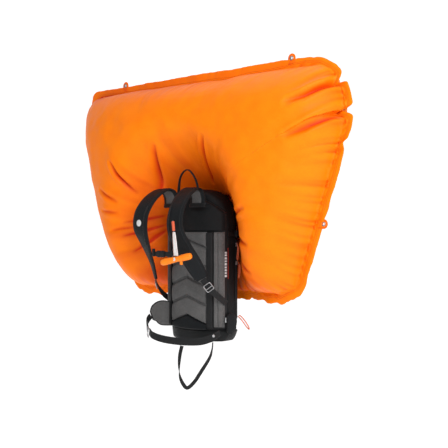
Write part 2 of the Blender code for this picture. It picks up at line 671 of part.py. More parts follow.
def build_chest_strap(web, plastic):
    """The sternum strap: two sliders beside the shoulder straps, two webbings and a buckle."""
    y, z = CHEST_Y, CHEST_HEIGHT
    pivot = (0, y, z)
    for side, word in ((-1, "left"), (1, "right")):
        x0, x1 = sorted((side * 0.046, side * 0.056))
        box(f"chest_slider_{word}", (x0, y - 0.004, z - 0.013), (x1, y + 0.004, z + 0.013),
            plastic, pivot=pivot)
    face = (0, -1, 0)
    buckle_in, buckle_mid, buckle_out = -0.0005, -0.0195, -0.0350
    sag = 0.004
    low = z - sag
    strip("chest_webbing_right", [((0.046 - 2 * GAP, y, z), face, 0.016),
                                  ((0.038, y, z), face, 0.016),
                                  ((0.018, y - 0.001, low), face, 0.016),
                                  ((buckle_in + 0.006, y, low), face, 0.016),
                                  ((buckle_in + GAP, y, low), face, 0.016)],
          WEBBING_DEPTH, web, pivot=pivot)
    strip("chest_webbing_left", [((-0.046 + GAP, y, low), face, 0.016),
                                 ((buckle_out - GAP, y, low), face, 0.016)],
          WEBBING_DEPTH, web, steps=1, pivot=pivot)
    box("chest_buckle_socket", (buckle_mid, y - 0.004, z - sag - 0.011),
        (buckle_in, y + 0.004, z - sag + 0.011), plastic, pivot=pivot)
    box("chest_buckle_plug", (buckle_out, y - 0.0035, z - sag - 0.010),
        (buckle_mid - GAP, y + 0.0035, z - sag + 0.010), plastic, pivot=pivot)


def build_hip_belt(foam, web, plastic, steel):
    """Hip fins, the slack belt with its hook buckle, and the leg loop that hangs from it."""
    fin = [((-0.107, 0.012, -0.020), (-0.8, 0.6, 0), 0.082),
           ((-0.118, -0.003, -0.018), (-0.85, 0.5, 0), 0.080),
           ((-0.125, -0.019, -0.020), (-0.95, 0.3, 0), 0.064),
           ((-0.128, -0.034, -0.026), (-0.98, 0.2, 0), 0.030)]
    strip("hip_fin_left", fin, 0.010, foam)
    fin = [((0.1390, 0.050, -0.042), (1, 0, 0), 0.046),
           ((0.1395, 0.062, -0.042), (1, 0, 0), 0.066),
           ((0.1395, 0.078, -0.044), (1, 0, 0), 0.058),
           ((0.1390, 0.092, -0.048), (1, 0.05, 0), 0.028)]
    strip("hip_fin_right", fin, 0.008, foam)

    strip("belt_webbing_left", [((-0.1290, -0.0375, -0.027), (-1, 0.05, 0.1), 0.022),
                                ((-0.1290, -0.0480, -0.036), (-0.98, -0.1, 0), 0.022),
                                ((-0.1265, -0.0560, -0.045), (-0.9, -0.4, 0), 0.022)],
          WEBBING_DEPTH, web)
    strip("belt_hook", [((-0.1256, -0.0566, -0.0468), (-0.8, -0.6, 0), 0.030),
                        ((-0.1180, -0.0640, -0.0580), (-0.7, -0.7, 0), 0.034),
                        ((-0.1080, -0.0700, -0.0680), (-0.6, -0.8, 0), 0.030)],
          0.004, plastic)
    outward = Vector((-0.5, -0.86, 0)).normalized()
    run = Vector((0.016, -0.009, -0.010)).normalized()
    across = run.cross(outward).normalized()
    run = outward.cross(across)
    centre = Vector((-0.0920, -0.0795, -0.0750)) + outward * 0.003
    bar = 0.0032
    pivot = centre - run * (0.024 - bar) / 2
    frame_ring("belt_frame", centre, across, run, 0.036, 0.024, bar, steel, pivot)
    belt = [((-0.0950, -0.0750, -0.0735), (-0.5, -0.86, 0), BELT_WIDTH),
            ((-0.068, -0.0850, -0.0835), (-0.2, -1, 0), BELT_WIDTH),
            ((-0.020, -0.0800, -0.0925), (0.2, -1, 0), BELT_WIDTH),
            ((0.045, -0.0640, -0.0960), (0.4, -0.9, 0), BELT_WIDTH),
            ((0.095, -0.0360, -0.0945), (0.5, -0.85, 0), BELT_WIDTH),
            ((0.120, -0.0150, -0.0860), (0.7, -0.7, 0), BELT_WIDTH),
            (BELT_LUG, (0.95, -0.3, 0), BELT_WIDTH),
            ((0.1345, 0.020, -0.0690), (1, -0.1, 0), BELT_WIDTH - 0.004)]
    strip("belt_webbing_right", belt, WEBBING_DEPTH, web)


def build_leg_loop(web):
    """The crotch strap, a narrow webbing that hangs in a long twisted loop."""
    plane = Vector((-0.53, 0.85, 0))
    inward = Vector((0.85, 0.53, 0))
    turns = [0, 10, 50, 110, 150, 165, 170, 160, 130, 100, 90]
    stations = []
    for point, degrees in zip(LEG_ROUTE, turns):
        turn = math.radians(degrees)
        stations.append((point, plane * math.cos(turn) + inward * math.sin(turn), LEG_WIDTH))
    strip("leg_loop", stations, WEBBING_DEPTH, web, steps=2, pivot=LEG_ROUTE[0])


def build_release(orange, white, steel, web):
    """The T-handle on its white lead, and the cable that it draws out of the strap's sleeve."""
    way = PULL_WAY.normalized()
    face = (0, -1, -0.12)
    lead_end = LEAD_TOP + way * LEAD_LENGTH
    strip("release_lead", [(LEAD_TOP, face, 0.010), (LEAD_TOP + way * 0.02, face, 0.014),
                           (lead_end, face, 0.019)], 0.004, white, pivot=LEAD_TOP)
    grip = lead_end + way * (HANDLE_RADIUS + GAP)
    half = HANDLE_LENGTH / 2
    profile = [(0.004, -half), (0.009, -half + 0.004), (HANDLE_RADIUS, -half + 0.016),
               (0.0085, 0), (HANDLE_RADIUS, half - 0.016), (0.009, half - 0.004), (0.004, half)]
    handle = lathe("release_handle", profile, grip, HANDLE_WAY, orange, sides=12, pivot=grip)
    stub = grip + HANDLE_WAY * 0.016 + way * 0.005
    tongue = strip("stub_tool", [(stub, face, 0.010), (stub + way * 0.016, face, 0.009)], 0.006,
                   orange, steps=1)
    combine(handle, tongue, "UNION")
    travel = CABLE_TRAVEL
    lathe("release_cable", [(CABLE_RADIUS, GAP), (CABLE_RADIUS, travel + 0.006)], LEAD_TOP, -way,
          steel, sides=8, pivot=LEAD_TOP)
    bore, outer = CABLE_RADIUS + RUN, 0.0045
    lathe("lead_sleeve", [(bore, 0), (outer, 0), (outer, travel), (bore, travel)],
          LEAD_TOP - way * 0.004, -way, orange, sides=12, closed=True)


def side_x(y):
    """The pack's side surface at a distance behind the pad, on its straight stretch."""
    share = abs(y - PACK_MIDDLE) / (PACK_REAR - PACK_MIDDLE)
    return PACK_HALF_WIDTH * (1 - share ** 3) ** (1 / 3)


def build_zip_and_straps(tape, steel, orange, web, plastic):
    """The side zip with two sliders and pull cords, a compression strap, and the rear flaps."""
    x = side_x(ZIP_Y - 0.006) + GAP
    box("zip_track", (x, ZIP_Y - 0.006, ZIP_BOTTOM), (x + 0.0012, ZIP_Y + 0.006, ZIP_TOP), tape)
    slider_low = x + 0.0012 + GAP
    for word, z, y in (("upper", ZIP_UPPER, ZIP_Y - 0.0035), ("lower", ZIP_LOWER, ZIP_Y + 0.0035)):
        box(f"zip_slider_{word}", (slider_low, ZIP_Y - 0.005, z - 0.007),
            (slider_low + 0.004, ZIP_Y + 0.005, z + 0.007), steel, pivot=(slider_low, ZIP_Y, z))
        px = slider_low + 0.004 + GAP + PULL_DIAMETER / 2
        route = [(px, y, z + 0.003), (px + 0.003, y, z - 0.002), (px + 0.0035, y - 0.001, z - 0.020),
                 (px + 0.003, y - 0.003, z - 0.040), (px + 0.002, y, z - 0.050),
                 (px + 0.003, y + 0.003, z - 0.040), (px + 0.0065, y + 0.001, z - 0.020),
                 (px + 0.0065, y, z - 0.006)]
        cord(f"zip_pull_{word}", route, PULL_DIAMETER, orange)

    z = COMPRESSION_HEIGHT
    sx = PACK_HALF_WIDTH + WEBBING_DEPTH / 2 + 0.0006
    strip("compression_strap", [((sx, 0.062, z), (1, 0, 0), 0.015),
                                ((sx, 0.078, z), (1, 0, 0), 0.015),
                                ((sx - 0.0006, 0.097, z), (1, 0.03, 0), 0.015)],
          WEBBING_DEPTH, web)
    box("compression_buckle", (sx - 0.0020, 0.0978, z - 0.012), (sx + 0.0065, 0.117, z + 0.012),
        plastic)

    lift = 0.0006
    port = NECK_RADIUS + 0.014
    for side, word in ((-1, "left"), (1, "right")):
        rings = []
        for i in range(5):
            across = side * (port + 0.002 + 0.030 * i / 4)
            heights = [NECK_HEIGHT - 0.055 + 0.100 * k / 4 for k in range(5)]
            near = [(across, rear_y(across, h) + lift, h) for h in heights]
            far = [(across, rear_y(across, h) + lift + 0.0016, h) for h in reversed(heights)]
            rings.append(near + far)
        loft(f"airbag_flap_{word}", rings, web)


def build_gear_loop(orange):
    """The cord loop for an ice axe at the pack's lower rear corner."""
    cord("gear_loop", GEAR_ROUTE, GEAR_CORD_DIAMETER, orange)


def build():
    """Make the whole pack."""
    clear_scene()
    cloth = finish("black_fabric", (0.012, 0.013, 0.014), 0.75)
    tough = finish("bottom_fabric", (0.009, 0.010, 0.010), 0.60)
    foam = finish("grey_mesh", (0.11, 0.11, 0.11), 0.85)
    pad_cloth = finish("strap_fabric", (0.010, 0.012, 0.014), 0.70)
    web = finish("black_webbing", (0.010, 0.011, 0.012), 0.65)
    fabric = finish("orange_nylon", (1.0, 0.22, 0.005), 0.40)
    orange = finish("orange_plastic", (0.95, 0.26, 0.02), 0.45)
    cord_orange = finish("orange_cord", (0.90, 0.20, 0.08), 0.60)
    white = finish("white_lead", (0.80, 0.80, 0.80), 0.50)
    steel = finish("steel", (0.62, 0.62, 0.62), 0.28, 1.0)
    alloy = finish("aluminium", (0.66, 0.67, 0.68), 0.35, 1.0)
    plastic = finish("black_plastic", (0.015, 0.015, 0.016), 0.45)
    rubber = finish("rubber", (0.02, 0.02, 0.02), 0.80)
    red = finish("red_paint", (0.50, 0.03, 0.02), 0.35)

    build_body(cloth, tough)
    build_back_system(foam, cloth, web, plastic, alloy)
    build_airbag(fabric, steel)
    build_inflation(alloy, plastic, rubber, steel, red)
    build_shoulder_straps(pad_cloth, web, steel)
    build_haul_loop(web)
    build_chest_strap(web, plastic)
    build_hip_belt(foam, web, plastic, steel)
    build_leg_loop(web)
    build_release(orange, white, steel, web)
    build_zip_and_straps(cloth, steel, cord_orange, web, plastic)
    build_gear_loop(cord_orange)


build()
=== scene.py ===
"""A small ski-touring pack with its avalanche airbag inflated: the looks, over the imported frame.

Frame: the origin is the middle of the lumbar pad's face, +Z up, +Y away from the wearer into the
pack, +X the wearer's right-hand side. Lengths are in metres.
"""
from __future__ import annotations

import logging
import math
import sys
from dataclasses import dataclass, field
from enum import Enum
from typing import Callable, Iterable, Sequence

import bmesh
import bpy
import numpy as np
from mathutils import Matrix, Vector


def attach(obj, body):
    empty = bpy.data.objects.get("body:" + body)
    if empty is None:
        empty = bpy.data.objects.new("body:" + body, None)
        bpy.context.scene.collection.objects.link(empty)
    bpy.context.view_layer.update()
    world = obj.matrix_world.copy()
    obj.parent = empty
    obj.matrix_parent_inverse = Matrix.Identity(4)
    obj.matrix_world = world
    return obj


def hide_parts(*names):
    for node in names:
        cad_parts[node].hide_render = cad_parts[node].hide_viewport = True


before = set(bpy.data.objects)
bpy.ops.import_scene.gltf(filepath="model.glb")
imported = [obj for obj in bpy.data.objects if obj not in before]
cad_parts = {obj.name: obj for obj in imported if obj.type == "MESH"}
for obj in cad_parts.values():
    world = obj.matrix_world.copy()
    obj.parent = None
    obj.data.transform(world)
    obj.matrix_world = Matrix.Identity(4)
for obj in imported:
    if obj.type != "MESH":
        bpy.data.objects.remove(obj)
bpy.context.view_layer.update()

logging.basicConfig(level=logging.INFO, format="%(name)s: %(message)s", stream=sys.stdout)
LOG = logging.getLogger("airbag_pack")

Point = Sequence[float]
UV_NAME = "metres"

# clearances and sizes shared by several sub-assemblies
GAP = 0.0004
HALF_WIDTH = 0.130
PACK_BOTTOM = -0.100
PACK_TOP = 0.400
PACK_REAR = 0.150
PACK_MIDDLE = 0.075
SHOULDER_START = 0.270
PANEL_RECESS = 0.042
PAD_DEPTH = 0.0115
BOARD_DEPTH = 0.0078
SHELL_FACE = PAD_DEPTH + BOARD_DEPTH + 2 * GAP
YOKE_TOP = 0.372
PAD_TOP = 0.258
NECK_RADIUS = 0.036
NECK_HEIGHT = 0.290


class Body(Enum):
    """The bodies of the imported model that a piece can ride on."""

    PACK = "pack"
    RELEASE = "release"
    CHEST = "chest_strap"
    BELT_FRAME = "belt_frame"
    LOCK_LEFT = "ladder_lock_left"
    LOCK_RIGHT = "ladder_lock_right"
    ZIP_UPPER = "zip_upper"
    ZIP_LOWER = "zip_lower"
    HAUL = "haul_loop"
    LEG = "leg_loop"


class Side(Enum):
    """The wearer's left or right, with the sign of its X."""

    LEFT = -1
    RIGHT = 1

    @property
    def word(self) -> str:
        """The side's name, as nodes use it."""
        return self.name.lower()


class Pattern(Enum):
    """The fine structure that a finish shows."""

    WEAVE = "weave"
    AIR_MESH = "air_mesh"
    WEBBING = "webbing"
    GRAIN = "grain"
    BRUSHED = "brushed"
    BRAID = "braid"


# ---- curves and noise ----------------------------------------------------------------------

def spline(points: Sequence[Point], steps: int) -> np.ndarray:
    """Run a Catmull-Rom curve through points.

    Args:
        points: the points it passes through.
        steps: how many points each span gets.

    Returns:
        The curve's points, one row each.
    """
    pts = np.asarray(points, float)
    ends = np.vstack([2 * pts[0] - pts[1], pts, 2 * pts[-1] - pts[-2]])
    t = (np.arange(steps) / steps)[:, None]
    spans = []
    for a, b, c, d in zip(ends, ends[1:], ends[2:], ends[3:]):
        spans.append(0.5 * (2 * b + (c - a) * t + (2 * a - 5 * b + 4 * c - d) * t ** 2
                            + (3 * b - a - 3 * c + d) * t ** 3))
    return np.vstack(spans + [pts[-1:]])


def unit(vectors: np.ndarray) -> np.ndarray:
    """Give each row of vectors the length 1."""
    return vectors / np.maximum(np.linalg.norm(vectors, axis=-1, keepdims=True), 1e-12)


def directions(path: np.ndarray, closed: bool = False) -> np.ndarray:
    """Give the unit direction of a path at each of its points.

    Args:
        path: the points in order.
        closed: whether the last point leads back to the first.

    Returns:
        One unit vector for each point.
    """
    if closed:
        return unit(np.roll(path, -1, axis=0) - np.roll(path, 1, axis=0))
    before = np.vstack([path[:1], path[:-1]])
    after = np.vstack([path[1:], path[-1:]])
    return unit(after - before)


def lengths(path: np.ndarray) -> np.ndarray:
    """Give the distance along a path at each of its points."""
    return np.concatenate([[0.0], np.cumsum(np.linalg.norm(np.diff(path, axis=0), axis=1))])


def smooth(low: float, high: float, value: np.ndarray) -> np.ndarray:
    """Rise smoothly from 0 at low to 1 at high."""
    t = np.clip((np.asarray(value, float) - low) / (high - low), 0, 1)
    return t * t * (3 - 2 * t)


def ripple(s: np.ndarray, step: float, seed: int) -> np.ndarray:
    """Smooth random values from -1 to 1 along a line.

    Args:
        s: distances along the line.
        step: the distance between the random values.
        seed: fixes the values.

    Returns:
        One value for each distance.
    """
    values = np.random.RandomState(seed).uniform(-1, 1, 512)
    place = np.asarray(s, float) / step + 100.0
    low = np.floor(place).astype(int)
    t = place - low
    t = t * t * (3 - 2 * t)
    return values[low % 512] * (1 - t) + values[(low + 1) % 512] * t


def ripple2(a: np.ndarray, b: np.ndarray, step: float, seed: int) -> np.ndarray:
    """Smooth random values from -1 to 1 over a surface, as ripple gives along a line.

    Args:
        a, b: place over the surface.
        step: size of a ripple.
        seed: fixed seed.

    Returns:
        A value for each place.
    """
    values = np.random.RandomState(seed).uniform(-1, 1, (128, 128))
    p, q = np.asarray(a, float) / step + 60.0, np.asarray(b, float) / step + 60.0
    i, j = np.floor(p).astype(int), np.floor(q).astype(int)
    s, t = p - i, q - j
    s, t = s * s * (3 - 2 * s), t * t * (3 - 2 * t)
    i0, i1, j0, j1 = i % 128, (i + 1) % 128, j % 128, (j + 1) % 128
    low = values[i0, j0] * (1 - s) + values[i1, j0] * s
    high = values[i0, j1] * (1 - s) + values[i1, j1] * s
    return low * (1 - t) + high * t


def line_distance(x: np.ndarray, z: np.ndarray, route: Sequence[Point]) -> tuple:
    """Measure points against a bent line in a plane.

    Args:
        x: the points' first coordinates.
        z: their second coordinates.
        route: the line's corners.

    Returns:
        The distance to the line, and how far along it the nearest place is, from 0 to 1.
    """
    corners = np.asarray(route, float)
    total = lengths(corners)
    near = np.full(np.shape(x), 1e9)
    along = np.zeros(np.shape(x))
    for i, (a, b) in enumerate(zip(corners, corners[1:])):
        way = b - a
        size = float(way @ way)
        t = np.clip(((x - a[0]) * way[0] + (z - a[1]) * way[1]) / size, 0, 1)
        gap = np.hypot(x - a[0] - t * way[0], z - a[1] - t * way[1])
        closer = gap < near
        near = np.where(closer, gap, near)
        along = np.where(closer, (total[i] + t * math.sqrt(size)) / total[-1], along)
    return near, along


# ---- meshes --------------------------------------------------------------------------------

def make_object(name: str, points: np.ndarray, faces: Sequence, uvs: np.ndarray | None = None,
                sharp: float | None = None) -> bpy.types.Object:
    """Make a mesh object at the origin.

    Args:
        name: the object's name.
        points: its points, one row each.
        faces: its faces, as rows of point numbers.
        uvs: each point's place on the cloth, in metres.
        sharp: the angle in degrees past which an edge stays sharp; None leaves all edges smooth.

    Returns:
        The new object.
    """
    mesh = bpy.data.meshes.new(name)
    mesh.from_pydata(np.asarray(points, float).tolist(), [], [list(map(int, f)) for f in faces])
    if uvs is not None:
        layer = mesh.uv_layers.new(name=UV_NAME)
        corner = np.zeros(len(mesh.loops), np.int32)
        mesh.loops.foreach_get("vertex_index", corner)
        layer.data.foreach_set("uv", np.asarray(uvs, np.float32)[corner].ravel())
    item = bpy.data.objects.new(name, mesh)
    bpy.context.scene.collection.objects.link(item)
    outward(item)
    mesh.shade_smooth()
    if sharp is not None:
        mesh.set_sharp_from_angle(angle=math.radians(sharp))
    return item


def outward(item: bpy.types.Object) -> None:
    """Turn every face of a closed mesh outward.

    Args:
        item: the mesh to turn.
    """
    shape = bmesh.new()
    shape.from_mesh(item.data)
    bmesh.ops.recalc_face_normals(shape, faces=shape.faces)
    if shape.calc_volume(signed=True) < 0:
        bmesh.ops.reverse_faces(shape, faces=shape.faces)
    shape.to_mesh(item.data)
    shape.free()


def grid_faces(rows: int, columns: int, wrap: bool = False, start: int = 0) -> np.ndarray:
    """Number the quads of a grid of points; wrap joins its last column to its first.

    Args:
        rows, columns: the grid's size.
        wrap: whether the grid closes round.
        start: number of its first point.

    Returns:
        Four point numbers for each quad.
    """
    i = np.arange(rows - 1)[:, None]
    j = np.arange(columns if wrap else columns - 1)[None, :]
    k = (j + 1) % columns
    quad = np.stack([i * columns + j + 0 * k, i * columns + k, (i + 1) * columns + k,
                     (i + 1) * columns + j + 0 * k], axis=-1)
    return quad.reshape(-1, 4) + start


def tube_mesh(name: str, rings: np.ndarray, uvs: np.ndarray | None = None, closed: bool = False,
              sharp: float | None = 50) -> bpy.types.Object:
    """Skin a row of rings, each an equal count of points, and cap both ends unless it is closed.

    Args:
        name: the object's name.
        rings: points as rows of rings.
        uvs: each point's place on the cloth, in the same layout.
        closed: joins the last ring to the first.
        sharp: the angle past which edges stay sharp.

    Returns:
        The new object.
    """
    rows, count = rings.shape[:2]
    faces = [list(f) for f in grid_faces(rows, count, wrap=True)]
    if closed:
        last = (rows - 1) * count
        faces += [[last + j, last + (j + 1) % count, (j + 1) % count, j] for j in range(count)]
    else:
        faces += [list(range(count)), [(rows - 1) * count + j for j in reversed(range(count))]]
    flat = None if uvs is None else uvs.reshape(-1, 2)
    return make_object(name, rings.reshape(-1, 3), faces, flat, sharp)


def flat_section(corner: float = 0.5, count: int = 5) -> np.ndarray:
    """The section of a webbing: a flat oval, as rows of (across, out), each from -0.5 to 0.5."""
    turns = np.linspace(0, 2 * math.pi, 4 * count, endpoint=False)
    c, s = np.cos(turns), np.sin(turns)
    return np.stack([0.5 * np.sign(c) * np.abs(c) ** 0.35, 0.5 * np.sign(s) * np.abs(s) ** corner],
                    axis=1)


class Ribbon:
    """A flat band of cloth or webbing along stations of (point, outward normal, width)."""

    def __init__(self, stations: Sequence, depth: float, steps: int = 8) -> None:
        """Lay the band's centreline.

        Args:
            stations: the route, as the part's own strips have it.
            depth: the band's thickness.
            steps: points for each span.
        """
        self.depth = depth
        self.path = spline([s[0] for s in stations], steps)
        self.widths = spline([(s[2], 0, 0) for s in stations], steps)[:, 0]
        self.ahead = directions(self.path)
        normals = spline([s[1] for s in stations], steps)
        self.across = unit(np.cross(self.ahead, normals))
        self.out = unit(np.cross(self.across, self.ahead))
        self.along = lengths(self.path)

    def place(self, across: np.ndarray, out: np.ndarray) -> np.ndarray:
        """Points at shares of the width and the thickness, for each station and section point."""
        return (self.path[:, None]
                + self.across[:, None] * (self.widths[:, None] * across)[..., None]
                + self.out[:, None] * (self.depth * out)[..., None])

    def skin(self, name: str, section: np.ndarray | None = None,
             sharp: float | None = 50) -> bpy.types.Object:
        """Make the band's mesh.

        Args:
            name: the object's name.
            section: rows of (across, out) shares; a flat oval if left out.
            sharp: the angle past which edges stay sharp.

        Returns:
            The new object, with its cloth coordinates across and along the band.
        """
        section = flat_section() if section is None else section
        rows, count = len(self.path), len(section)
        across = np.broadcast_to(section[:, 0], (rows, count))
        out = np.broadcast_to(section[:, 1], (rows, count))
        rings = self.place(across, out)
        uvs = np.stack([across * self.widths[:, None],
                        np.broadcast_to(self.along[:, None], (rows, count))], axis=-1)
        return tube_mesh(name, rings, uvs, sharp=sharp)

    def edge_line(self, inset: float, lift: float = 0.0004, side: int = 1,
                  face: int = 1) -> np.ndarray:
        """A line on the band's face, inset from one edge, for a row of stitches."""
        across = side * (0.5 - inset / self.widths)
        out = np.full(len(self.path), face * (0.5 + lift / self.depth))
        return self.place(across[:, None], out[:, None])[:, 0]


def round_tube(name: str, path: np.ndarray, radius: float | np.ndarray, sides: int = 10,
               closed: bool = False) -> bpy.types.Object:
    """Sweep a circle along a path.

    Args:
        name: the object's name.
        path: the centreline's points.
        radius: one radius, or one for each point.
        sides: points of each ring.
        closed: joins the ends.

    Returns:
        The new object, with its cloth coordinates round and along it.
    """
    ahead = directions(path, closed)
    side = np.zeros_like(path)
    first = np.array(Vector(ahead[0]).orthogonal().normalized())
    for i, way in enumerate(ahead):
        first = first - way * float(first @ way)
        first = first / np.linalg.norm(first)
        side[i] = first
    other = np.cross(ahead, side)
    turns = np.linspace(0, 2 * math.pi, sides, endpoint=False)
    radii = np.broadcast_to(np.asarray(radius, float), (len(path),))[:, None, None]
    rings = path[:, None] + radii * (side[:, None] * np.cos(turns)[None, :, None]
                                     + other[:, None] * np.sin(turns)[None, :, None])
    round_way = np.broadcast_to(turns * float(np.mean(radii)), (len(path), sides))
    along = np.broadcast_to(lengths(path)[:, None], (len(path), sides))
    return tube_mesh(name, rings, np.stack([round_way, along], axis=-1), closed, sharp=60)


def turned(name: str, profile: Sequence[tuple[float, float]], start: Point, axis: Point,
           sides: int = 32, closed: bool = False, sharp: float = 35) -> bpy.types.Object:
    """Turn a profile of (radius, distance along the axis); a closed profile makes a ring.

    Args:
        name: the piece's name.
        profile: radius and distance pairs.
        start: where the axis begins.
        axis: its direction.
        sides: faces round.
        closed: whether the profile is a ring.
        sharp: angle in degrees past which an edge is sharp.

    Returns:
        The turned mesh.
    """
    way = np.asarray(Vector(axis).normalized())
    side = np.asarray(Vector(way).orthogonal().normalized())
    other = np.cross(way, side)
    turns = np.linspace(0, 2 * math.pi, sides, endpoint=False)
    circle = side * np.cos(turns)[:, None] + other * np.sin(turns)[:, None]
    rings = np.array([np.asarray(start) + way * h + circle * r for r, h in profile])
    return tube_mesh(name, rings, None, closed, sharp)


def moulded_block(name: str, low: Point, high: Point, bevel: float,
                  segments: int = 3) -> bpy.types.Object:
    """A moulded block with rounded edges between two corners.

    Args:
        name: the piece's name.
        low, high: opposite corners.
        bevel: the edges' radius.
        segments: steps in each edge.

    Returns:
        The block.
    """
    shape = bmesh.new()
    bmesh.ops.create_cube(shape, size=1.0)
    low, high = Vector(low), Vector(high)
    for vert in shape.verts:
        vert.co = Vector(low[i] + (vert.co[i] + 0.5) * (high[i] - low[i]) for i in range(3))
    bmesh.ops.bevel(shape, geom=shape.edges[:], offset=bevel, segments=segments, profile=0.6,
                    affect="EDGES")
    mesh = bpy.data.meshes.new(name)
    shape.to_mesh(mesh)
    shape.free()
    item = bpy.data.objects.new(name, mesh)
    bpy.context.scene.collection.objects.link(item)
    mesh.shade_smooth()
    mesh.set_sharp_from_angle(angle=math.radians(50))
    return item


def join(name: str, items: Sequence[bpy.types.Object]) -> bpy.types.Object:
    """Join meshes that one piece is moulded from, and name the result.

    Args:
        name: the result's name.
        items: the meshes, which are used up.

    Returns:
        The joined mesh.
    """
    shape = bmesh.new()
    for item in items:
        shape.from_mesh(item.data)
    mesh = bpy.data.meshes.new(name)
    shape.to_mesh(mesh)
    shape.free()
    for item in items:
        bpy.data.objects.remove(item, do_unlink=True)
    mesh.shade_smooth()
    mesh.set_sharp_from_angle(angle=math.radians(45))
    joined = bpy.data.objects.new(name, mesh)
    bpy.context.scene.collection.objects.link(joined)
    return joined


def rounded_rectangle(centre: Point, across: Point, along: Point, width: float, height: float,
                      corner: float, steps: int = 6) -> np.ndarray:
    """The closed line of a rectangle with round corners, as a buckle's wire follows.

    Args:
        centre: its middle.
        across, along: its two directions.
        width, height: its sides.
        corner: the corners' radius.
        steps: steps in each corner.

    Returns:
        The points in order.
    """
    across, along = np.asarray(across, float), np.asarray(along, float)
    points = []
    for i, j, start in ((1, 1, 0), (-1, 1, 90), (-1, -1, 180), (1, -1, 270)):
        for k in range(steps + 1):
            turn = math.radians(start + 90 * k / steps)
            a = i * (width / 2 - corner) + corner * math.cos(turn)
            b = j * (height / 2 - corner) + corner * math.sin(turn)
            points.append(np.asarray(centre) + across * a + along * b)
    return np.array(points)


# ---- shader groups -------------------------------------------------------------------------

class NodeTree:
    """A shader or geometry tree with short calls for its nodes and sums."""

    def __init__(self, tree: bpy.types.NodeTree) -> None:
        """Wrap an existing tree."""
        self.tree = tree

    def node(self, kind: str, **settings: object) -> bpy.types.Node:
        """Add a node of a kind with its settings."""
        made = self.tree.nodes.new(kind)
        for key, value in settings.items():
            setattr(made, key, value)
        return made

    def feed(self, socket: bpy.types.NodeSocket, value: object) -> None:
        """Link a socket to another, or set its own value."""
        if isinstance(value, bpy.types.NodeSocket):
            self.tree.links.new(value, socket)
        else:
            socket.default_value = value

    def sum(self, operation: str, a: object, b: object = 0.0,
            c: object = 0.0) -> bpy.types.NodeSocket:
        """Add a Math node.

        Args:
            operation: the sum's kind.
            a, b, c: sockets or numbers.

        Returns:
            The result's socket.
        """
        made = self.node("ShaderNodeMath", operation=operation)
        for socket, value in zip(made.inputs, (a, b, c)):
            self.feed(socket, value)
        return made.outputs[0]

    def scaled(self, vector: object, scale: object) -> bpy.types.NodeSocket:
        """Scale a vector by a number or by a vector.

        Args:
            vector: the place.
            scale: factor for each axis.

        Returns:
            The scaled place.
        """
        if isinstance(scale, tuple):
            made = self.node("ShaderNodeVectorMath", operation="MULTIPLY")
            self.feed(made.inputs[0], vector)
            self.feed(made.inputs[1], scale)
        else:
            made = self.node("ShaderNodeVectorMath", operation="SCALE")
            self.feed(made.inputs[0], vector)
            self.feed(made.inputs["Scale"], scale)
        return made.outputs[0]

    def split(self, vector: object) -> tuple:
        """Give a vector's three sockets."""
        made = self.node("ShaderNodeSeparateXYZ")
        self.feed(made.inputs[0], vector)
        return made.outputs[0], made.outputs[1], made.outputs[2]

    def noise(self, vector: object, scale: float, detail: float = 3.0) -> bpy.types.NodeSocket:
        """Add a Noise Texture and give its factor.

        Args:
            vector: the place.
            scale: how fine it is.
            detail: its finer layers.

        Returns:
            The noise's socket.
        """
        made = self.node("ShaderNodeTexNoise")
        self.feed(made.inputs["Vector"], vector)
        made.inputs["Scale"].default_value = scale
        made.inputs["Detail"].default_value = detail
        return made.outputs[0]

    def remap(self, value: object, low: object, high: object, to_low: object = 0.0,
              to_high: object = 1.0) -> bpy.types.NodeSocket:
        """Add a clamped Map Range.

        Args:
            value: the socket to map.
            low, high: its own range.
            to_low, to_high: the new range.

        Returns:
            The mapped socket.
        """
        made = self.node("ShaderNodeMapRange")
        for socket, item in zip(made.inputs, (value, low, high, to_low, to_high)):
            self.feed(socket, item)
        return made.outputs[0]

    def blend(self, factor: object, low: object, high: object) -> bpy.types.NodeSocket:
        """Mix two colours.

        Args:
            factor: share of the second colour.
            low, high: the two colours.

        Returns:
            The mixed colour.
        """
        made = self.node("ShaderNodeMix", data_type="RGBA")
        self.feed(made.inputs[0], factor)
        self.feed(made.inputs[6], low)
        self.feed(made.inputs[7], high)
        return made.outputs[2]


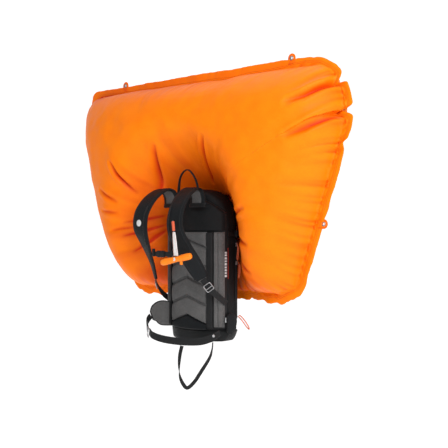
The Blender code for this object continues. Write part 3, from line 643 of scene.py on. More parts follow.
class PatternGroups:
    """The node groups that finishes share; each takes a place and a pitch and gives a height."""

    def __init__(self) -> None:
        """Start with no groups made."""
        self.made: dict[Pattern, bpy.types.NodeTree] = {}

    def group(self, pattern: Pattern) -> bpy.types.NodeTree:
        """Give the group of a pattern, made at its first use.

        Args:
            pattern: which pattern to build.

        Returns:
            The node group.
        """
        if pattern not in self.made:
            tree = bpy.data.node_groups.new(f"pattern_{pattern.value}", "ShaderNodeTree")
            tree.interface.new_socket("Place", in_out="INPUT", socket_type="NodeSocketVector")
            tree.interface.new_socket("Pitch", in_out="INPUT", socket_type="NodeSocketFloat")
            tree.interface.new_socket("Height", in_out="OUTPUT", socket_type="NodeSocketFloat")
            tree.interface.new_socket("Mottle", in_out="OUTPUT", socket_type="NodeSocketFloat")
            t = NodeTree(tree)
            inlet = t.node("NodeGroupInput")
            outlet = t.node("NodeGroupOutput")
            place, pitch = inlet.outputs[0], inlet.outputs[1]
            cells = t.scaled(place, t.sum("DIVIDE", 1.0, pitch))
            height = {
                Pattern.WEAVE: self.weave, Pattern.AIR_MESH: self.air_mesh,
                Pattern.WEBBING: self.webbing, Pattern.GRAIN: self.grain,
                Pattern.BRUSHED: self.brushed, Pattern.BRAID: self.braid,
            }[pattern](t, cells)
            cloudy = t.sum("ADD", t.sum("MULTIPLY", t.noise(place, 26.0, 4.0), 0.6),
                           t.sum("MULTIPLY", t.noise(place, 180.0, 2.0), 0.4))
            t.feed(outlet.inputs[0], height)
            t.feed(outlet.inputs[1], t.remap(cloudy, 0.35, 0.65))
            self.made[pattern] = tree
        return self.made[pattern]

    @staticmethod
    def weave(t: NodeTree, cells: object) -> bpy.types.NodeSocket:
        """Plain weave: warp and weft crowns in a checkerboard.

        Args:
            t: the tree.
            cells: place in threads.

        Returns:
            The height's socket.
        """
        x, y, _ = t.split(cells)
        a = t.sum("ABSOLUTE", t.sum("SINE", t.sum("MULTIPLY", x, math.pi)))
        b = t.sum("ABSOLUTE", t.sum("SINE", t.sum("MULTIPLY", y, math.pi)))
        odd = t.sum("MODULO", t.sum("ABSOLUTE", t.sum("ADD", t.sum("FLOOR", x), t.sum("FLOOR", y))),
                    2.0)
        warp = t.sum("MULTIPLY", t.sum("POWER", a, 0.5), odd)
        weft = t.sum("MULTIPLY", t.sum("POWER", b, 0.5), t.sum("SUBTRACT", 1.0, odd))
        return t.sum("MULTIPLY", t.sum("ADD", warp, weft), t.sum("ADD", 0.5, t.sum(
            "MULTIPLY", t.sum("MULTIPLY", a, b), 0.5)))

    @staticmethod
    def air_mesh(t: NodeTree, cells: object) -> bpy.types.NodeSocket:
        """Spacer mesh: small round holes in close rows.

        Args:
            t: the tree.
            cells: place in holes.

        Returns:
            The height's socket.
        """
        cell = t.node("ShaderNodeTexVoronoi")
        t.feed(cell.inputs["Vector"], cells)
        cell.inputs["Scale"].default_value = 1.0
        cell.inputs["Randomness"].default_value = 0.25
        return t.remap(cell.outputs["Distance"], 0.20, 0.42)

    @staticmethod
    def webbing(t: NodeTree, cells: object) -> bpy.types.NodeSocket:
        """Woven tape: ribs along it, crossed by a fine zigzag.

        Args:
            t: the tree.
            cells: place in ribs.

        Returns:
            The height's socket.
        """
        x, y, _ = t.split(cells)
        rib = t.sum("ABSOLUTE", t.sum("SINE", t.sum("MULTIPLY", x, math.pi)))
        fold = t.sum("PINGPONG", x, 1.0)
        zigzag = t.sum("ABSOLUTE", t.sum("SINE", t.sum(
            "MULTIPLY", t.sum("ADD", t.sum("MULTIPLY", y, 1.6), fold), math.pi)))
        return t.sum("MULTIPLY", t.sum("POWER", rib, 0.6), t.sum("ADD", 0.45, t.sum(
            "MULTIPLY", zigzag, 0.55)))

    @staticmethod
    def grain(t: NodeTree, cells: object) -> bpy.types.NodeSocket:
        """The fine leathery grain of a moulded surface."""
        return t.noise(cells, 1.0, 4.0)

    @staticmethod
    def brushed(t: NodeTree, cells: object) -> bpy.types.NodeSocket:
        """Fine scratches that run one way."""
        return t.noise(t.scaled(cells, (1.0, 1.0, 0.06)), 1.0, 3.0)

    @staticmethod
    def braid(t: NodeTree, cells: object) -> bpy.types.NodeSocket:
        """The crossing strands of a braided cord."""
        x, y, _ = t.split(cells)
        a = t.sum("ABSOLUTE", t.sum("SINE", t.sum("MULTIPLY", t.sum("ADD", x, y), math.pi)))
        b = t.sum("ABSOLUTE", t.sum("SINE", t.sum("MULTIPLY", t.sum("SUBTRACT", x, y), math.pi)))
        return t.sum("POWER", t.sum("MULTIPLY", a, b), 0.5)


GROUPS = PatternGroups()


@dataclass(frozen=True)
class Finish:
    """A finish: colours, gloss, the pattern that its height and colour follow, and the deep colour
    that painted shade mixes toward.
    """

    name: str
    slot: str
    colour: tuple[float, float, float]
    low_colour: tuple[float, float, float]
    pattern: Pattern
    pitch: float
    relief: float
    roughness: tuple[float, float] = (0.55, 0.75)
    metallic: float = 0.0
    sheen: float = 0.0
    coat: float = 0.0
    mottle: float = 0.35
    on_cloth: bool = True
    # colour that the mesh's 'fold' attribute mixes in as painted shade
    fold_colour: tuple[float, float, float] | None = None
    crumple: float = 0.0
    specular: float = 0.14

    def material(self) -> bpy.types.Material:
        """Make the material, or give it where it has been made."""
        known = bpy.data.materials.get(self.name)
        if known:
            return known
        made = bpy.data.materials.new(self.name)
        made.use_nodes = True
        t = NodeTree(made.node_tree)
        shader = made.node_tree.nodes["Principled BSDF"]
        if self.on_cloth:
            place = t.node("ShaderNodeUVMap", uv_map=UV_NAME).outputs[0]
        else:
            place = t.node("ShaderNodeTexCoord").outputs["Object"]
        pattern = t.node("ShaderNodeGroup", node_tree=GROUPS.group(self.pattern))
        t.feed(pattern.inputs["Place"], place)
        pattern.inputs["Pitch"].default_value = self.pitch
        height, cloudy = pattern.outputs
        share = t.sum("ADD", t.sum("MULTIPLY", height, 1 - self.mottle),
                      t.sum("MULTIPLY", cloudy, self.mottle))
        colour = t.blend(share, (*self.low_colour, 1.0), (*self.colour, 1.0))
        # painted shade: the mesh's 'fold' attribute darkens the colour toward a deep red in
        # creases, puckers, under the top flange, along the left edge and round the pack
        if self.fold_colour:
            fold = t.node("ShaderNodeAttribute", attribute_name="fold").outputs["Fac"]
            colour = t.blend(fold, colour, (*self.fold_colour, 1.0))
        t.feed(shader.inputs["Base Color"], colour)
        t.feed(shader.inputs["Roughness"], t.remap(cloudy, 0.0, 1.0, *self.roughness))
        shader.inputs["Metallic"].default_value = self.metallic
        shader.inputs["Specular IOR Level"].default_value = self.specular
        shader.inputs["Sheen Weight"].default_value = self.sheen
        shader.inputs["Sheen Roughness"].default_value = 0.4
        shader.inputs["Coat Weight"].default_value = self.coat
        shader.inputs["Coat Roughness"].default_value = 0.3
        bump = t.node("ShaderNodeBump")
        bump.inputs["Strength"].default_value = 1.0
        bump.inputs["Distance"].default_value = self.relief
        t.feed(bump.inputs["Height"], height)
        if self.crumple:
            soft = t.node("ShaderNodeBump")
            soft.inputs["Strength"].default_value = 1.0
            soft.inputs["Distance"].default_value = self.crumple
            t.feed(soft.inputs["Height"], t.sum("ADD", t.noise(place, 22.0, 3.0),
                                                t.sum("MULTIPLY", t.noise(place, 75.0, 2.0), 0.4)))
            t.feed(bump.inputs["Normal"], soft.outputs[0])
        t.feed(shader.inputs["Normal"], bump.outputs[0])
        return made


# the nylon's third, deep red colour is painted shade, laid on by the airbag's 'fold' attribute
NYLON = Finish("airbag_nylon", "orange_nylon", (1.0, 0.235, 0.001), (0.95, 0.185, 0.0006),
               Pattern.WEAVE, 0.0009, 0.00004, (0.42, 0.55), mottle=0.6,
               fold_colour=(0.62, 0.028, 0.002), crumple=0.0007, specular=0.12)
FLANGE = Finish("airbag_flange", "orange_nylon", (0.96, 0.180, 0.002), (0.84, 0.130, 0.002),
                Pattern.WEAVE, 0.0009, 0.00006, (0.45, 0.6), mottle=0.7, crumple=0.0008)
BODY_CLOTH = Finish("body_cloth", "black_fabric", (0.0115, 0.0125, 0.0135), (0.004, 0.0044, 0.0048),
                    Pattern.WEAVE, 0.0011, 0.00012, (0.55, 0.72), sheen=0.0, crumple=0.0007)
BASE_CLOTH = Finish("base_cloth", "bottom_fabric", (0.012, 0.013, 0.0135), (0.004, 0.0045, 0.005),
                    Pattern.WEAVE, 0.0016, 0.00020, (0.42, 0.6), sheen=0.0, crumple=0.0006)
GREY_MESH = Finish("grey_air_mesh", "grey_mesh", (0.130, 0.128, 0.127), (0.030, 0.030, 0.031),
                   Pattern.AIR_MESH, 0.0021, 0.00035, (0.8, 0.92), sheen=0.02, mottle=0.25,
                   crumple=0.0009)
STRAP_CLOTH = Finish("strap_cloth", "strap_fabric", (0.0100, 0.0120, 0.0140),
                     (0.003, 0.0036, 0.0042),
                     Pattern.WEAVE, 0.0010, 0.00012, (0.5, 0.68), sheen=0.0, crumple=0.0006)
WEBBING = Finish("black_tape", "black_webbing", (0.020, 0.021, 0.022), (0.004, 0.004, 0.0045),
                 Pattern.WEBBING, 0.0016, 0.00022, (0.45, 0.62), sheen=0.01, mottle=0.2)
BINDING = Finish("edge_binding", "black_webbing", (0.012, 0.0125, 0.013), (0.003, 0.003, 0.0035),
                 Pattern.WEBBING, 0.0012, 0.00016, (0.5, 0.65), sheen=0.01, mottle=0.2)
BINDING_HARD = Finish("zip_tape_cloth", "black_webbing", (0.012, 0.0125, 0.013),
                      (0.003, 0.003, 0.0035), Pattern.WEBBING, 0.0012, 0.00010, (0.5, 0.65),
                      on_cloth=False)
THREAD = Finish("dark_thread", "black_webbing", (0.050, 0.052, 0.055), (0.020, 0.020, 0.022),
                Pattern.GRAIN, 0.0004, 0.00005, (0.45, 0.6), on_cloth=False)
ORANGE_THREAD = Finish("orange_thread", "orange_nylon", (0.62, 0.10, 0.008), (0.42, 0.05, 0.004),
                       Pattern.GRAIN, 0.0004, 0.00005, (0.5, 0.65), on_cloth=False)
CORD_ORANGE = Finish("orange_braid", "orange_cord", (0.95, 0.24, 0.10), (0.60, 0.10, 0.05),
                     Pattern.BRAID, 0.0009, 0.00018, (0.55, 0.7), sheen=0.01, mottle=0.2)
ORANGE_GRIP = Finish("orange_grip", "orange_plastic", (0.96, 0.26, 0.012), (0.82, 0.19, 0.010),
                     Pattern.GRAIN, 0.0007, 0.00006, (0.34, 0.48), coat=0.12, on_cloth=False)
WHITE_TAPE = Finish("white_tape", "white_lead", (0.84, 0.84, 0.83), (0.62, 0.62, 0.61),
                    Pattern.WEBBING, 0.0014, 0.00018, (0.5, 0.65), sheen=0.01, mottle=0.2)
REFLECTIVE = Finish("pale_print", "white_lead", (0.66, 0.67, 0.68), (0.52, 0.53, 0.54),
                    Pattern.GRAIN, 0.0006, 0.00003, (0.3, 0.45), on_cloth=False)
RED_PRINT = Finish("red_print", "red_paint", (0.62, 0.05, 0.02), (0.5, 0.03, 0.015),
                   Pattern.GRAIN, 0.0006, 0.00003, (0.4, 0.55), on_cloth=False)
BLACK_MOULDING = Finish("black_moulding", "black_plastic", (0.019, 0.019, 0.020),
                        (0.010, 0.010, 0.011), Pattern.GRAIN, 0.0006, 0.00008, (0.34, 0.5),
                        coat=0.08, on_cloth=False)
BRIGHT_STEEL = Finish("bright_steel", "steel", (0.46, 0.46, 0.465), (0.30, 0.30, 0.31),
                      Pattern.BRUSHED, 0.0009, 0.00003, (0.22, 0.38), metallic=1.0,
                      on_cloth=False)
ALLOY = Finish("anodised_alloy", "aluminium", (0.70, 0.71, 0.72), (0.56, 0.57, 0.58),
               Pattern.BRUSHED, 0.0010, 0.00003, (0.3, 0.42), metallic=1.0, on_cloth=False)
RUBBER = Finish("dull_rubber", "rubber", (0.022, 0.022, 0.022), (0.010, 0.010, 0.010),
                Pattern.GRAIN, 0.0009, 0.00008, (0.7, 0.85), on_cloth=False)
RED_ENAMEL = Finish("red_enamel", "red_paint", (0.52, 0.028, 0.018), (0.40, 0.020, 0.014),
                    Pattern.GRAIN, 0.0010, 0.00003, (0.24, 0.36), coat=0.4, on_cloth=False)


def install(item: bpy.types.Object, finish: Finish, body: Body = Body.PACK,
            replaces: Iterable[str] = ()) -> bpy.types.Object:
    """Dress a finished piece and hang it on its body.

    Args:
        item: the piece.
        finish: its finish.
        body: the body that it moves with.
        replaces: the nodes it stands for.

    Returns:
        The same piece.
    """
    item.data.materials.clear()
    item.data.materials.append(finish.material())
    names = list(replaces)
    if names:
        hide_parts(*names)
    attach(item, body.value)
    LOG.info("%s: %d faces, rides on %s%s", item.name,
             len(item.data.polygons) if item.type == "MESH" else 0, body.value,
             f", stands for {', '.join(names)}" if names else "")
    return item


# ---- rows of stitches, teeth and rivets ----------------------------------------------------

class RowMaker:
    """Geometry Nodes that lay small things along lines: stitches, teeth or rivets."""

    def __init__(self) -> None:
        """Build the tree with its named inputs."""
        tree = bpy.data.node_groups.new("things_along_lines", "GeometryNodeTree")
        face = tree.interface
        face.new_socket("Lines", in_out="INPUT", socket_type="NodeSocketGeometry")
        for name, value in (("Spacing", 0.004), ("Length", 0.0026), ("Thickness", 0.0004),
                            ("Wander", 0.0)):
            socket = face.new_socket(name, in_out="INPUT", socket_type="NodeSocketFloat")
            socket.default_value = value
        sides = face.new_socket("Sides", in_out="INPUT", socket_type="NodeSocketInt")
        sides.default_value = 6
        face.new_socket("Finish", in_out="INPUT", socket_type="NodeSocketMaterial")
        face.new_socket("Row", in_out="OUTPUT", socket_type="NodeSocketGeometry")
        self.tree = tree
        t = NodeTree(tree)
        inlet, outlet = t.node("NodeGroupInput"), t.node("NodeGroupOutput")
        get = {s.name: s for s in inlet.outputs}
        dots = t.node("GeometryNodeCurveToPoints", mode="LENGTH")
        t.feed(dots.inputs["Curve"], get["Lines"])
        t.feed(dots.inputs["Length"], get["Spacing"])
        thing = t.node("GeometryNodeMeshCylinder", fill_type="TRIANGLE_FAN")
        t.feed(thing.inputs["Vertices"], get["Sides"])
        t.feed(thing.inputs["Radius"], get["Thickness"])
        t.feed(thing.inputs["Depth"], get["Length"])
        jitter = t.node("FunctionNodeRandomValue", data_type="FLOAT")
        spread = t.sum("MULTIPLY", get["Wander"], -1.0)
        t.feed(jitter.inputs[2], spread)
        t.feed(jitter.inputs[3], get["Wander"])
        jitter.inputs["Seed"].default_value = 11
        wobble = t.node("ShaderNodeCombineXYZ")
        t.feed(wobble.inputs[0], jitter.outputs[1])
        moved = t.node("GeometryNodeSetPosition")
        t.feed(moved.inputs["Geometry"], dots.outputs["Points"])
        t.feed(moved.inputs["Offset"], wobble.outputs[0])
        rows = t.node("GeometryNodeInstanceOnPoints")
        t.feed(rows.inputs["Points"], moved.outputs[0])
        t.feed(rows.inputs["Instance"], thing.outputs["Mesh"])
        t.feed(rows.inputs["Rotation"], dots.outputs["Rotation"])
        real = t.node("GeometryNodeRealizeInstances")
        t.feed(real.inputs[0], rows.outputs[0])
        dress = t.node("GeometryNodeSetMaterial")
        t.feed(dress.inputs["Geometry"], real.outputs[0])
        t.feed(dress.inputs["Material"], get["Finish"])
        t.feed(outlet.inputs[0], dress.outputs[0])

    def lay(self, name: str, lines: Sequence[np.ndarray], finish: Finish, body: Body = Body.PACK,
            **sizes: float) -> bpy.types.Object:
        """Lay things along lines and bake them to a plain mesh.

        Args:
            name: the piece's name.
            lines: the lines' points.
            finish: the things' finish.
            body: the body that they move with.
            sizes: the tree's inputs by name.

        Returns:
            The finished piece.
        """
        curve = bpy.data.curves.new(name + "_lines", "CURVE")
        curve.dimensions = "3D"
        for line in lines:
            run = curve.splines.new("POLY")
            run.points.add(len(line) - 1)
            run.points.foreach_set("co", np.hstack([line, np.ones((len(line), 1))]).ravel())
        item = bpy.data.objects.new(name + "_lines", curve)
        bpy.context.scene.collection.objects.link(item)
        modifier = item.modifiers.new("rows", "NODES")
        modifier.node_group = self.tree
        for socket in self.tree.interface.items_tree:
            if socket.in_out == "INPUT" and socket.name in sizes:
                modifier[socket.identifier] = sizes[socket.name]
            if socket.name == "Finish":
                modifier[socket.identifier] = finish.material()
        baked = bpy.data.meshes.new_from_object(
            item.evaluated_get(bpy.context.evaluated_depsgraph_get()))
        baked.name = name
        bpy.data.objects.remove(item, do_unlink=True)
        piece = bpy.data.objects.new(name, baked)
        bpy.context.scene.collection.objects.link(piece)
        return install(piece, finish, body)


# ---- airbag --------------------------------------------------------------------------------

@dataclass(frozen=True)
class Crease:
    """A crease in the cloth, drawn from its shallow end to its deep end."""

    route: tuple[tuple[float, float], ...]
    width: float
    depth: float

    def press(self, x: np.ndarray, z: np.ndarray) -> np.ndarray:
        """How deep the crease presses the cloth in at points of the front.

        Args:
            x, z: place on the bag.

        Returns:
            How deep the crease is there.
        """
        near, along = line_distance(x, z, self.route)
        body = np.sin(np.pi * np.clip(along * 0.86 + 0.08, 0, 1)) ** 0.7
        valley = np.exp(-np.abs(near / self.width) ** 1.3)
        shoulders = 0.35 * np.exp(-((near - 2.1 * self.width) / (1.1 * self.width)) ** 2)
        return self.depth * body * (valley - shoulders)


@dataclass
class Airbag:
    """The inflated bag: two sheets sewn round a rim, standing over and behind the pack."""

    bottom: float = 0.025
    top: float = 0.805
    half_top: float = 0.656
    half_bottom: float = 0.375
    corner: float = 0.065
    left_bow: float = 0.022
    tucked_corner: float = 0.270
    flange: float = 0.035
    sheet: float = 0.0030
    seam_y: float = 0.125
    front: float = 0.235
    front_right: float = 0.175
    rear: float = 0.130
    nest_depth: float = 0.058
    core_height: float = 0.42
    spokes: int = 760
    rings: int = 96
    creases: tuple[Crease, ...] = (
        Crease(((-0.268, 0.495), (-0.246, 0.458), (-0.224, 0.430), (-0.198, 0.392)),
               0.0062, 0.0150),
        Crease(((-0.100, 0.545), (-0.117, 0.500), (-0.131, 0.455), (-0.146, 0.400)),
               0.0062, 0.0165),
        Crease(((0.106, 0.560), (0.078, 0.520), (0.048, 0.478), (0.020, 0.430)), 0.0066, 0.0180),
        Crease(((0.186, 0.428), (0.142, 0.396), (0.105, 0.381), (0.046, 0.364)), 0.0060, 0.0160),
        Crease(((-0.240, 0.290), (-0.205, 0.297), (-0.160, 0.314)), 0.0050, 0.0100),
        Crease(((-0.244, 0.243), (-0.205, 0.260), (-0.164, 0.281)), 0.0050, 0.0110),
        Crease(((-0.228, 0.190), (-0.198, 0.222), (-0.164, 0.264)), 0.0050, 0.0110),
        Crease(((-0.282, 0.262), (-0.250, 0.268), (-0.220, 0.273)), 0.0048, 0.0080),
        Crease(((-0.340, 0.404), (-0.300, 0.382), (-0.256, 0.360)), 0.0066, 0.0090),
        Crease(((-0.330, 0.330), (-0.296, 0.326), (-0.258, 0.322)), 0.0060, 0.0070),
        Crease(((0.270, 0.330), (0.222, 0.318), (0.180, 0.310)), 0.0064, 0.0090),
        Crease(((0.272, 0.218), (0.226, 0.232), (0.182, 0.248)), 0.0064, 0.0100),
        Crease(((0.258, 0.130), (0.220, 0.152), (0.176, 0.184)), 0.0064, 0.0090),
    )
    tucks: tuple[Crease, ...] = (
        Crease(((0.592, 0.724), (0.545, 0.714), (0.500, 0.690), (0.462, 0.664), (0.425, 0.650)),
               0.0095, 0.0260),
        Crease(((0.600, 0.632), (0.556, 0.620), (0.512, 0.592), (0.470, 0.566), (0.425, 0.548)),
               0.0090, 0.0250),
        Crease(((0.590, 0.520), (0.552, 0.512), (0.510, 0.500)), 0.0070, 0.0100),
    )

    def half_width(self, z: np.ndarray, right: np.ndarray) -> np.ndarray:
        """Half the bag's width at a height; the upper right corner is folded in.

        Args:
            z: height on the bag.
            right: whether the point is on the right.

        Returns:
            The outline's distance from the middle.
        """
        z = np.asarray(z, float)
        rise = np.clip((z - self.bottom) / (self.top - self.bottom), 0.0, 1.0)
        half = self.half_bottom + (self.half_top - self.half_bottom) * rise
        half = half + np.where(right, 0.0, self.left_bow * np.sin(np.pi * rise))
        upper = np.where(right, self.tucked_corner, self.corner)
        for edge, sign, radius in ((self.top, 1, upper), (self.bottom, -1, self.corner)):
            near = radius - sign * (edge - z)
            cut = radius - np.sqrt(np.maximum(radius ** 2 - np.maximum(near, 0) ** 2, 0.0))
            half = np.where(near > 0, half - cut, half)
        return half

    def nest(self, x: np.ndarray, z: np.ndarray) -> np.ndarray:
        """How far the bag steps back round the pack, from 0 to 1."""
        spread = np.hypot(np.abs(x) / 0.205, np.maximum(z - 0.215, 0) / 0.300)
        return np.exp(-spread ** 3.4) * (1 - 0.10 * smooth(0.30, 0.05, z))

    def outline(self) -> np.ndarray:
        """The rim as points (x, z): an upper and a lower half, each at even distances."""
        heights = self.bottom + (self.top - self.bottom) * 0.5 * (
            1 - np.cos(np.linspace(0, np.pi, 1600)))
        right = self.half_width(heights, np.ones(1600, bool))
        left = self.half_width(heights, np.zeros(1600, bool))
        upper = heights >= self.core_height
        low = np.linspace(-left[0], right[0], 400)[1:-1]
        over = np.vstack([np.column_stack([right, heights])[upper],
                          np.column_stack([-left, heights])[upper][::-1]])
        under = np.vstack([np.column_stack([-left, heights])[~upper][::-1],
                           np.column_stack([low, np.full(398, self.bottom)]),
                           np.column_stack([right, heights])[~upper]])
        under = np.vstack([over[-1:], under, over[:1]])
        half = self.spokes // 2
        loops = []
        for side in (over, under):
            far = lengths(side)
            even = np.linspace(0, far[-1], half, endpoint=False)
            loops.append(np.column_stack([np.interp(even, far, side[:, 0]),
                                          np.interp(even, far, side[:, 1])]))
        return np.vstack(loops)

    def core(self) -> np.ndarray:
        """Where each spoke ends, on a level line that the two halves share."""
        share = np.arange(self.spokes // 2) / (self.spokes // 2)
        x = np.concatenate([0.24 - 0.54 * share, -0.30 + 0.54 * share])
        return np.column_stack([x, np.full(self.spokes, self.core_height)])

    def ragged(self, rim: np.ndarray) -> tuple[np.ndarray, np.ndarray]:
        """Pull the cut edge and the seam about, as sewn cloth does under pressure.

        Args:
            rim: the even outline.

        Returns:
            The moved rim, and the flange's width at each of its points.
        """
        s = lengths(rim)
        ahead = directions(rim, closed=True)
        inward = np.column_stack([-ahead[:, 1], ahead[:, 0]])
        middle = np.array([0.0, 0.42])
        inward *= np.sign(np.sum(inward * (middle - rim), axis=1))[:, None]
        x, z = rim[:, 0], rim[:, 1]
        rightish = smooth(0.30, 0.42, x) * smooth(0.03, 0.09, z)
        lower = 1 - smooth(0.03, 0.07, z)
        upper = smooth(0.74, 0.79, z)
        amount = 0.0013 + 0.0006 * rightish + 0.0040 * lower
        pull = amount * (ripple(s, 0.031, 3) + 0.5 * ripple(s, 0.0125, 5) + 1.0)
        pull = pull + 0.0016 * (1 + ripple(s, 0.110, 6)) * upper
        for height, size, width in ((0.727, 0.034, 0.011), (0.623, 0.042, 0.010),
                                    (0.520, 0.010, 0.011)):
            notch = np.exp(-((z - height) / width) ** 2) * (x > 0.3)
            pull = pull + size * notch
        # the lowest corners are drawn up where the flange is short of cloth
        width = self.flange - 0.013 * rightish - 0.004 * lower + 0.0018 * ripple(s, 0.055, 8)
        return rim + inward * pull[:, None], width

    def skin(self) -> bpy.types.Object:
        """Make the bag: a front and a rear sheet over the same spokes, closed round the rim."""
        rim, flange = self.ragged(self.outline())
        s = lengths(rim)
        span = rim - self.core()
        reach = np.linalg.norm(span, axis=1)
        ways = span / reach[:, None]
        bands = np.array([0.0, 0.0022, 0.0060])
        inner = (np.linspace(0, 1, self.rings - 9) ** 1.45)[1:-1]
        depth = np.zeros((self.rings - 4, len(rim)))
        depth[0] = bands[0]
        depth[1] = bands[1]
        depth[2] = bands[2]
        depth[3] = flange - 0.0070
        depth[4] = flange - 0.0022
        depth[5] = flange + 0.0006
        for i, share in enumerate(inner[: self.rings - 11]):
            depth[6 + i] = flange + 0.0006 + (reach - flange - 0.0006) * share
        depth = depth[: 6 + len(inner[: self.rings - 11])]
        depth = np.vstack([depth, reach[None, :]])
        place = rim[None] - ways[None] * depth[..., None]
        x, z = place[..., 0], place[..., 1]
        from_seam = np.maximum(depth - flange[None], 0.0)
        front, rear, fold = self.surfaces(x, z, from_seam, s)
        on_flange = smooth(0.0, 1.0, depth / flange[None])
        wave = 0.0032 * (ripple(s, 0.042, 21) + 0.5 * ripple(s, 0.017, 22)) * (1 - on_flange)
        taper = smooth(-0.0005, 0.0025, depth)
        thick = 0.5 * self.sheet * (0.35 + 0.65 * taper)
        groove = 0.0009 * np.exp(-((depth - flange[None]) / 0.0016) ** 2)
        front = front - thick + groove + wave
        rear = rear + thick - groove + wave
        return self.assemble(x, z, front, rear, fold)

    def surfaces(self, x: np.ndarray, z: np.ndarray, from_seam: np.ndarray,
                 s: np.ndarray) -> tuple[np.ndarray, np.ndarray, np.ndarray]:
        """Shape the two sheets behind the pack's face, and the shade painted on them.

        Args:
            x, z: each point's place in the bag's plane.
            from_seam: each point's distance inwards from the seam.
            s: distance along the rim.

        Returns:
            The front and rear depths, and the painted shade on each sheet.
        """
        half = self.half_width(z, x > 0) - self.flange
        across = np.clip(np.abs(x) / np.maximum(half, 1e-4), 0, 1)
        middle, tall = 0.5 * (self.bottom + self.top), 0.5 * (self.top - self.bottom) - self.flange
        up = np.clip(np.abs(z - middle) / tall, 0, 1)
        even = np.sqrt((1 - across ** 4) * (1 - up ** 4))
        skirt = np.sqrt(np.clip(from_seam / 0.055, 0, 1)) * (from_seam > 0)
        near_rim = 1 - smooth(0.0, 0.075, from_seam)
        swell = even * (1 - near_rim) + np.minimum(even, skirt * 0.62 + 0.02) * near_rim
        swell = np.where(from_seam <= 0, 0.0, swell)
        nest = self.nest(x, z)
        depth = self.front_right + (self.front - self.front_right) / (
            1 + np.exp(np.clip(x / 0.08, -40, 40)))
        front = self.seam_y + self.nest_depth * nest - depth * swell * (1 - nest)
        rear = self.seam_y + self.nest_depth * nest + self.rear * swell * (1 + 0.2 * nest)
        live = (from_seam > 0) * 1.0
        # fold is painted shade: the nylon's colour darkens where the creases press in
        fold = np.zeros_like(x)
        press = np.zeros_like(x)
        for crease in (*self.creases, *self.tucks):
            one = crease.press(x, z)
            press = press + one
            fold = np.maximum(fold, np.clip(one / max(crease.depth, 1e-6), 0, 1)
                              * min(crease.depth / 0.012, 1.0))
        press = press * live * smooth(0.0, 0.012, from_seam + 0.012 * (x > 0.40))
        pucker, dark = self.puckers(from_seam, s, x, z)
        soft = 0.0042 * ripple2(x, z, 0.085, 31) + 0.0018 * ripple2(x, z, 0.034, 33)
        soft = soft * smooth(0.0, 0.10, from_seam) * live
        angle = np.arctan2(x - 0.0, z - 0.25)
        round_nest = np.exp(-((np.hypot(x / 0.24, (z - 0.26) / 0.26) - 1.05) / 0.30) ** 2)
        spoke = ripple(angle * 0.30 + 2.0, 0.040, 41) + 0.5 * ripple(angle * 0.30, 0.019, 43)
        draw = 0.0040 * round_nest * spoke * live
        # more painted shade: round the pack's top (deep), under the top flange and along the left
        # edge
        deep = 0.50 * np.clip(nest * 2.2, 0, 1) * smooth(0.62, 0.42, z)
        shade_under_top_flange = 0.62 * np.exp(-from_seam / 0.040) * smooth(0.66, 0.76, z) * smooth(0.2, -0.3, x)
        shade_at_left_edge = 0.60 * np.exp(-from_seam / 0.045) * smooth(-0.40, -0.52, x)
        # painted shade in the puckers, on the rear sheet (behind) and on the front with the drawn
        # radial creases; the flange keeps a quarter of it
        behind = np.clip(dark, 0, 1)
        fold = fold + dark + 0.26 * np.clip(round_nest * -spoke, 0, 1)
        fold = np.clip(fold + deep + shade_under_top_flange + shade_at_left_edge, 0, 1) * np.where(from_seam > 0, 1, 0.25)
        front = front + press + pucker + soft + draw
        neck = np.exp(-(np.hypot(x, z - NECK_HEIGHT) / 0.17) ** 2)
        drawn = ripple(np.arctan2(x, z - NECK_HEIGHT) * 0.4 + 3.0, 0.055, 47)
        rear = rear - 0.6 * pucker - 0.8 * soft - 0.0035 * neck * (drawn + 0.6) * live
        return front, rear, np.stack([fold, behind])

    @staticmethod
    def puckers(from_seam: np.ndarray, s: np.ndarray, x: np.ndarray,
                z: np.ndarray) -> tuple[np.ndarray, np.ndarray]:
        """Narrow gathers that run in from the seam: their depth, and the shade painted in them.

        Args:
            from_seam: distance inwards from the seam.
            s: distance along the rim.
            x, z: place on the bag.

        Returns:
            The gathers' depth and their painted shade.
        """
        count = 124
        random = np.random.RandomState(7)
        total = float(s[-1])
        centres = (np.arange(count) + random.uniform(-0.36, 0.36, count)) * total / count
        sizes = random.uniform(0.35, 1.0, count) ** 1.4
        widths = random.uniform(0.0034, 0.0062, count)
        reaches = random.uniform(0.016, 0.052, count)
        depth = np.zeros_like(from_seam)
        dark = np.zeros_like(from_seam)
        ring = np.broadcast_to(s[None], from_seam.shape)
        for centre, size, width, far in zip(centres, sizes, widths, reaches):
            offset = np.abs(ring - centre)
            offset = np.minimum(offset, total - offset)
            close = offset[0] < 0.045
            if not close.any():
                continue
            drift = offset[:, close] / (width * (1 + from_seam[:, close] / 0.03))
            valley = np.exp(-drift ** 2)
            fade = np.exp(-from_seam[:, close] / far) * smooth(0.0, 0.004, from_seam[:, close])
            depth[:, close] += 0.0085 * size * valley * fade
            # painted shade along each gather
            dark[:, close] += 0.55 * size * valley * fade
        side = 0.75 + 0.45 * smooth(0.25, 0.45, x) + 0.25 * (1 - smooth(0.06, 0.14, z))
        return depth * side, dark * side

    def close_core(self, *sheets: np.ndarray) -> None:
        """Give both halves the same depth along the core line, so that no crack is left.

        Args:
            sheets: each sheet's depths, whose last row lies on the core line.
        """
        upper = np.arange(1, self.spokes // 2)
        lower = self.spokes - upper
        for sheet in sheets:
            level = (sheet[-1, upper] + sheet[-1, lower]) / 2
            sheet[-1, upper] = level
            sheet[-1, lower] = level

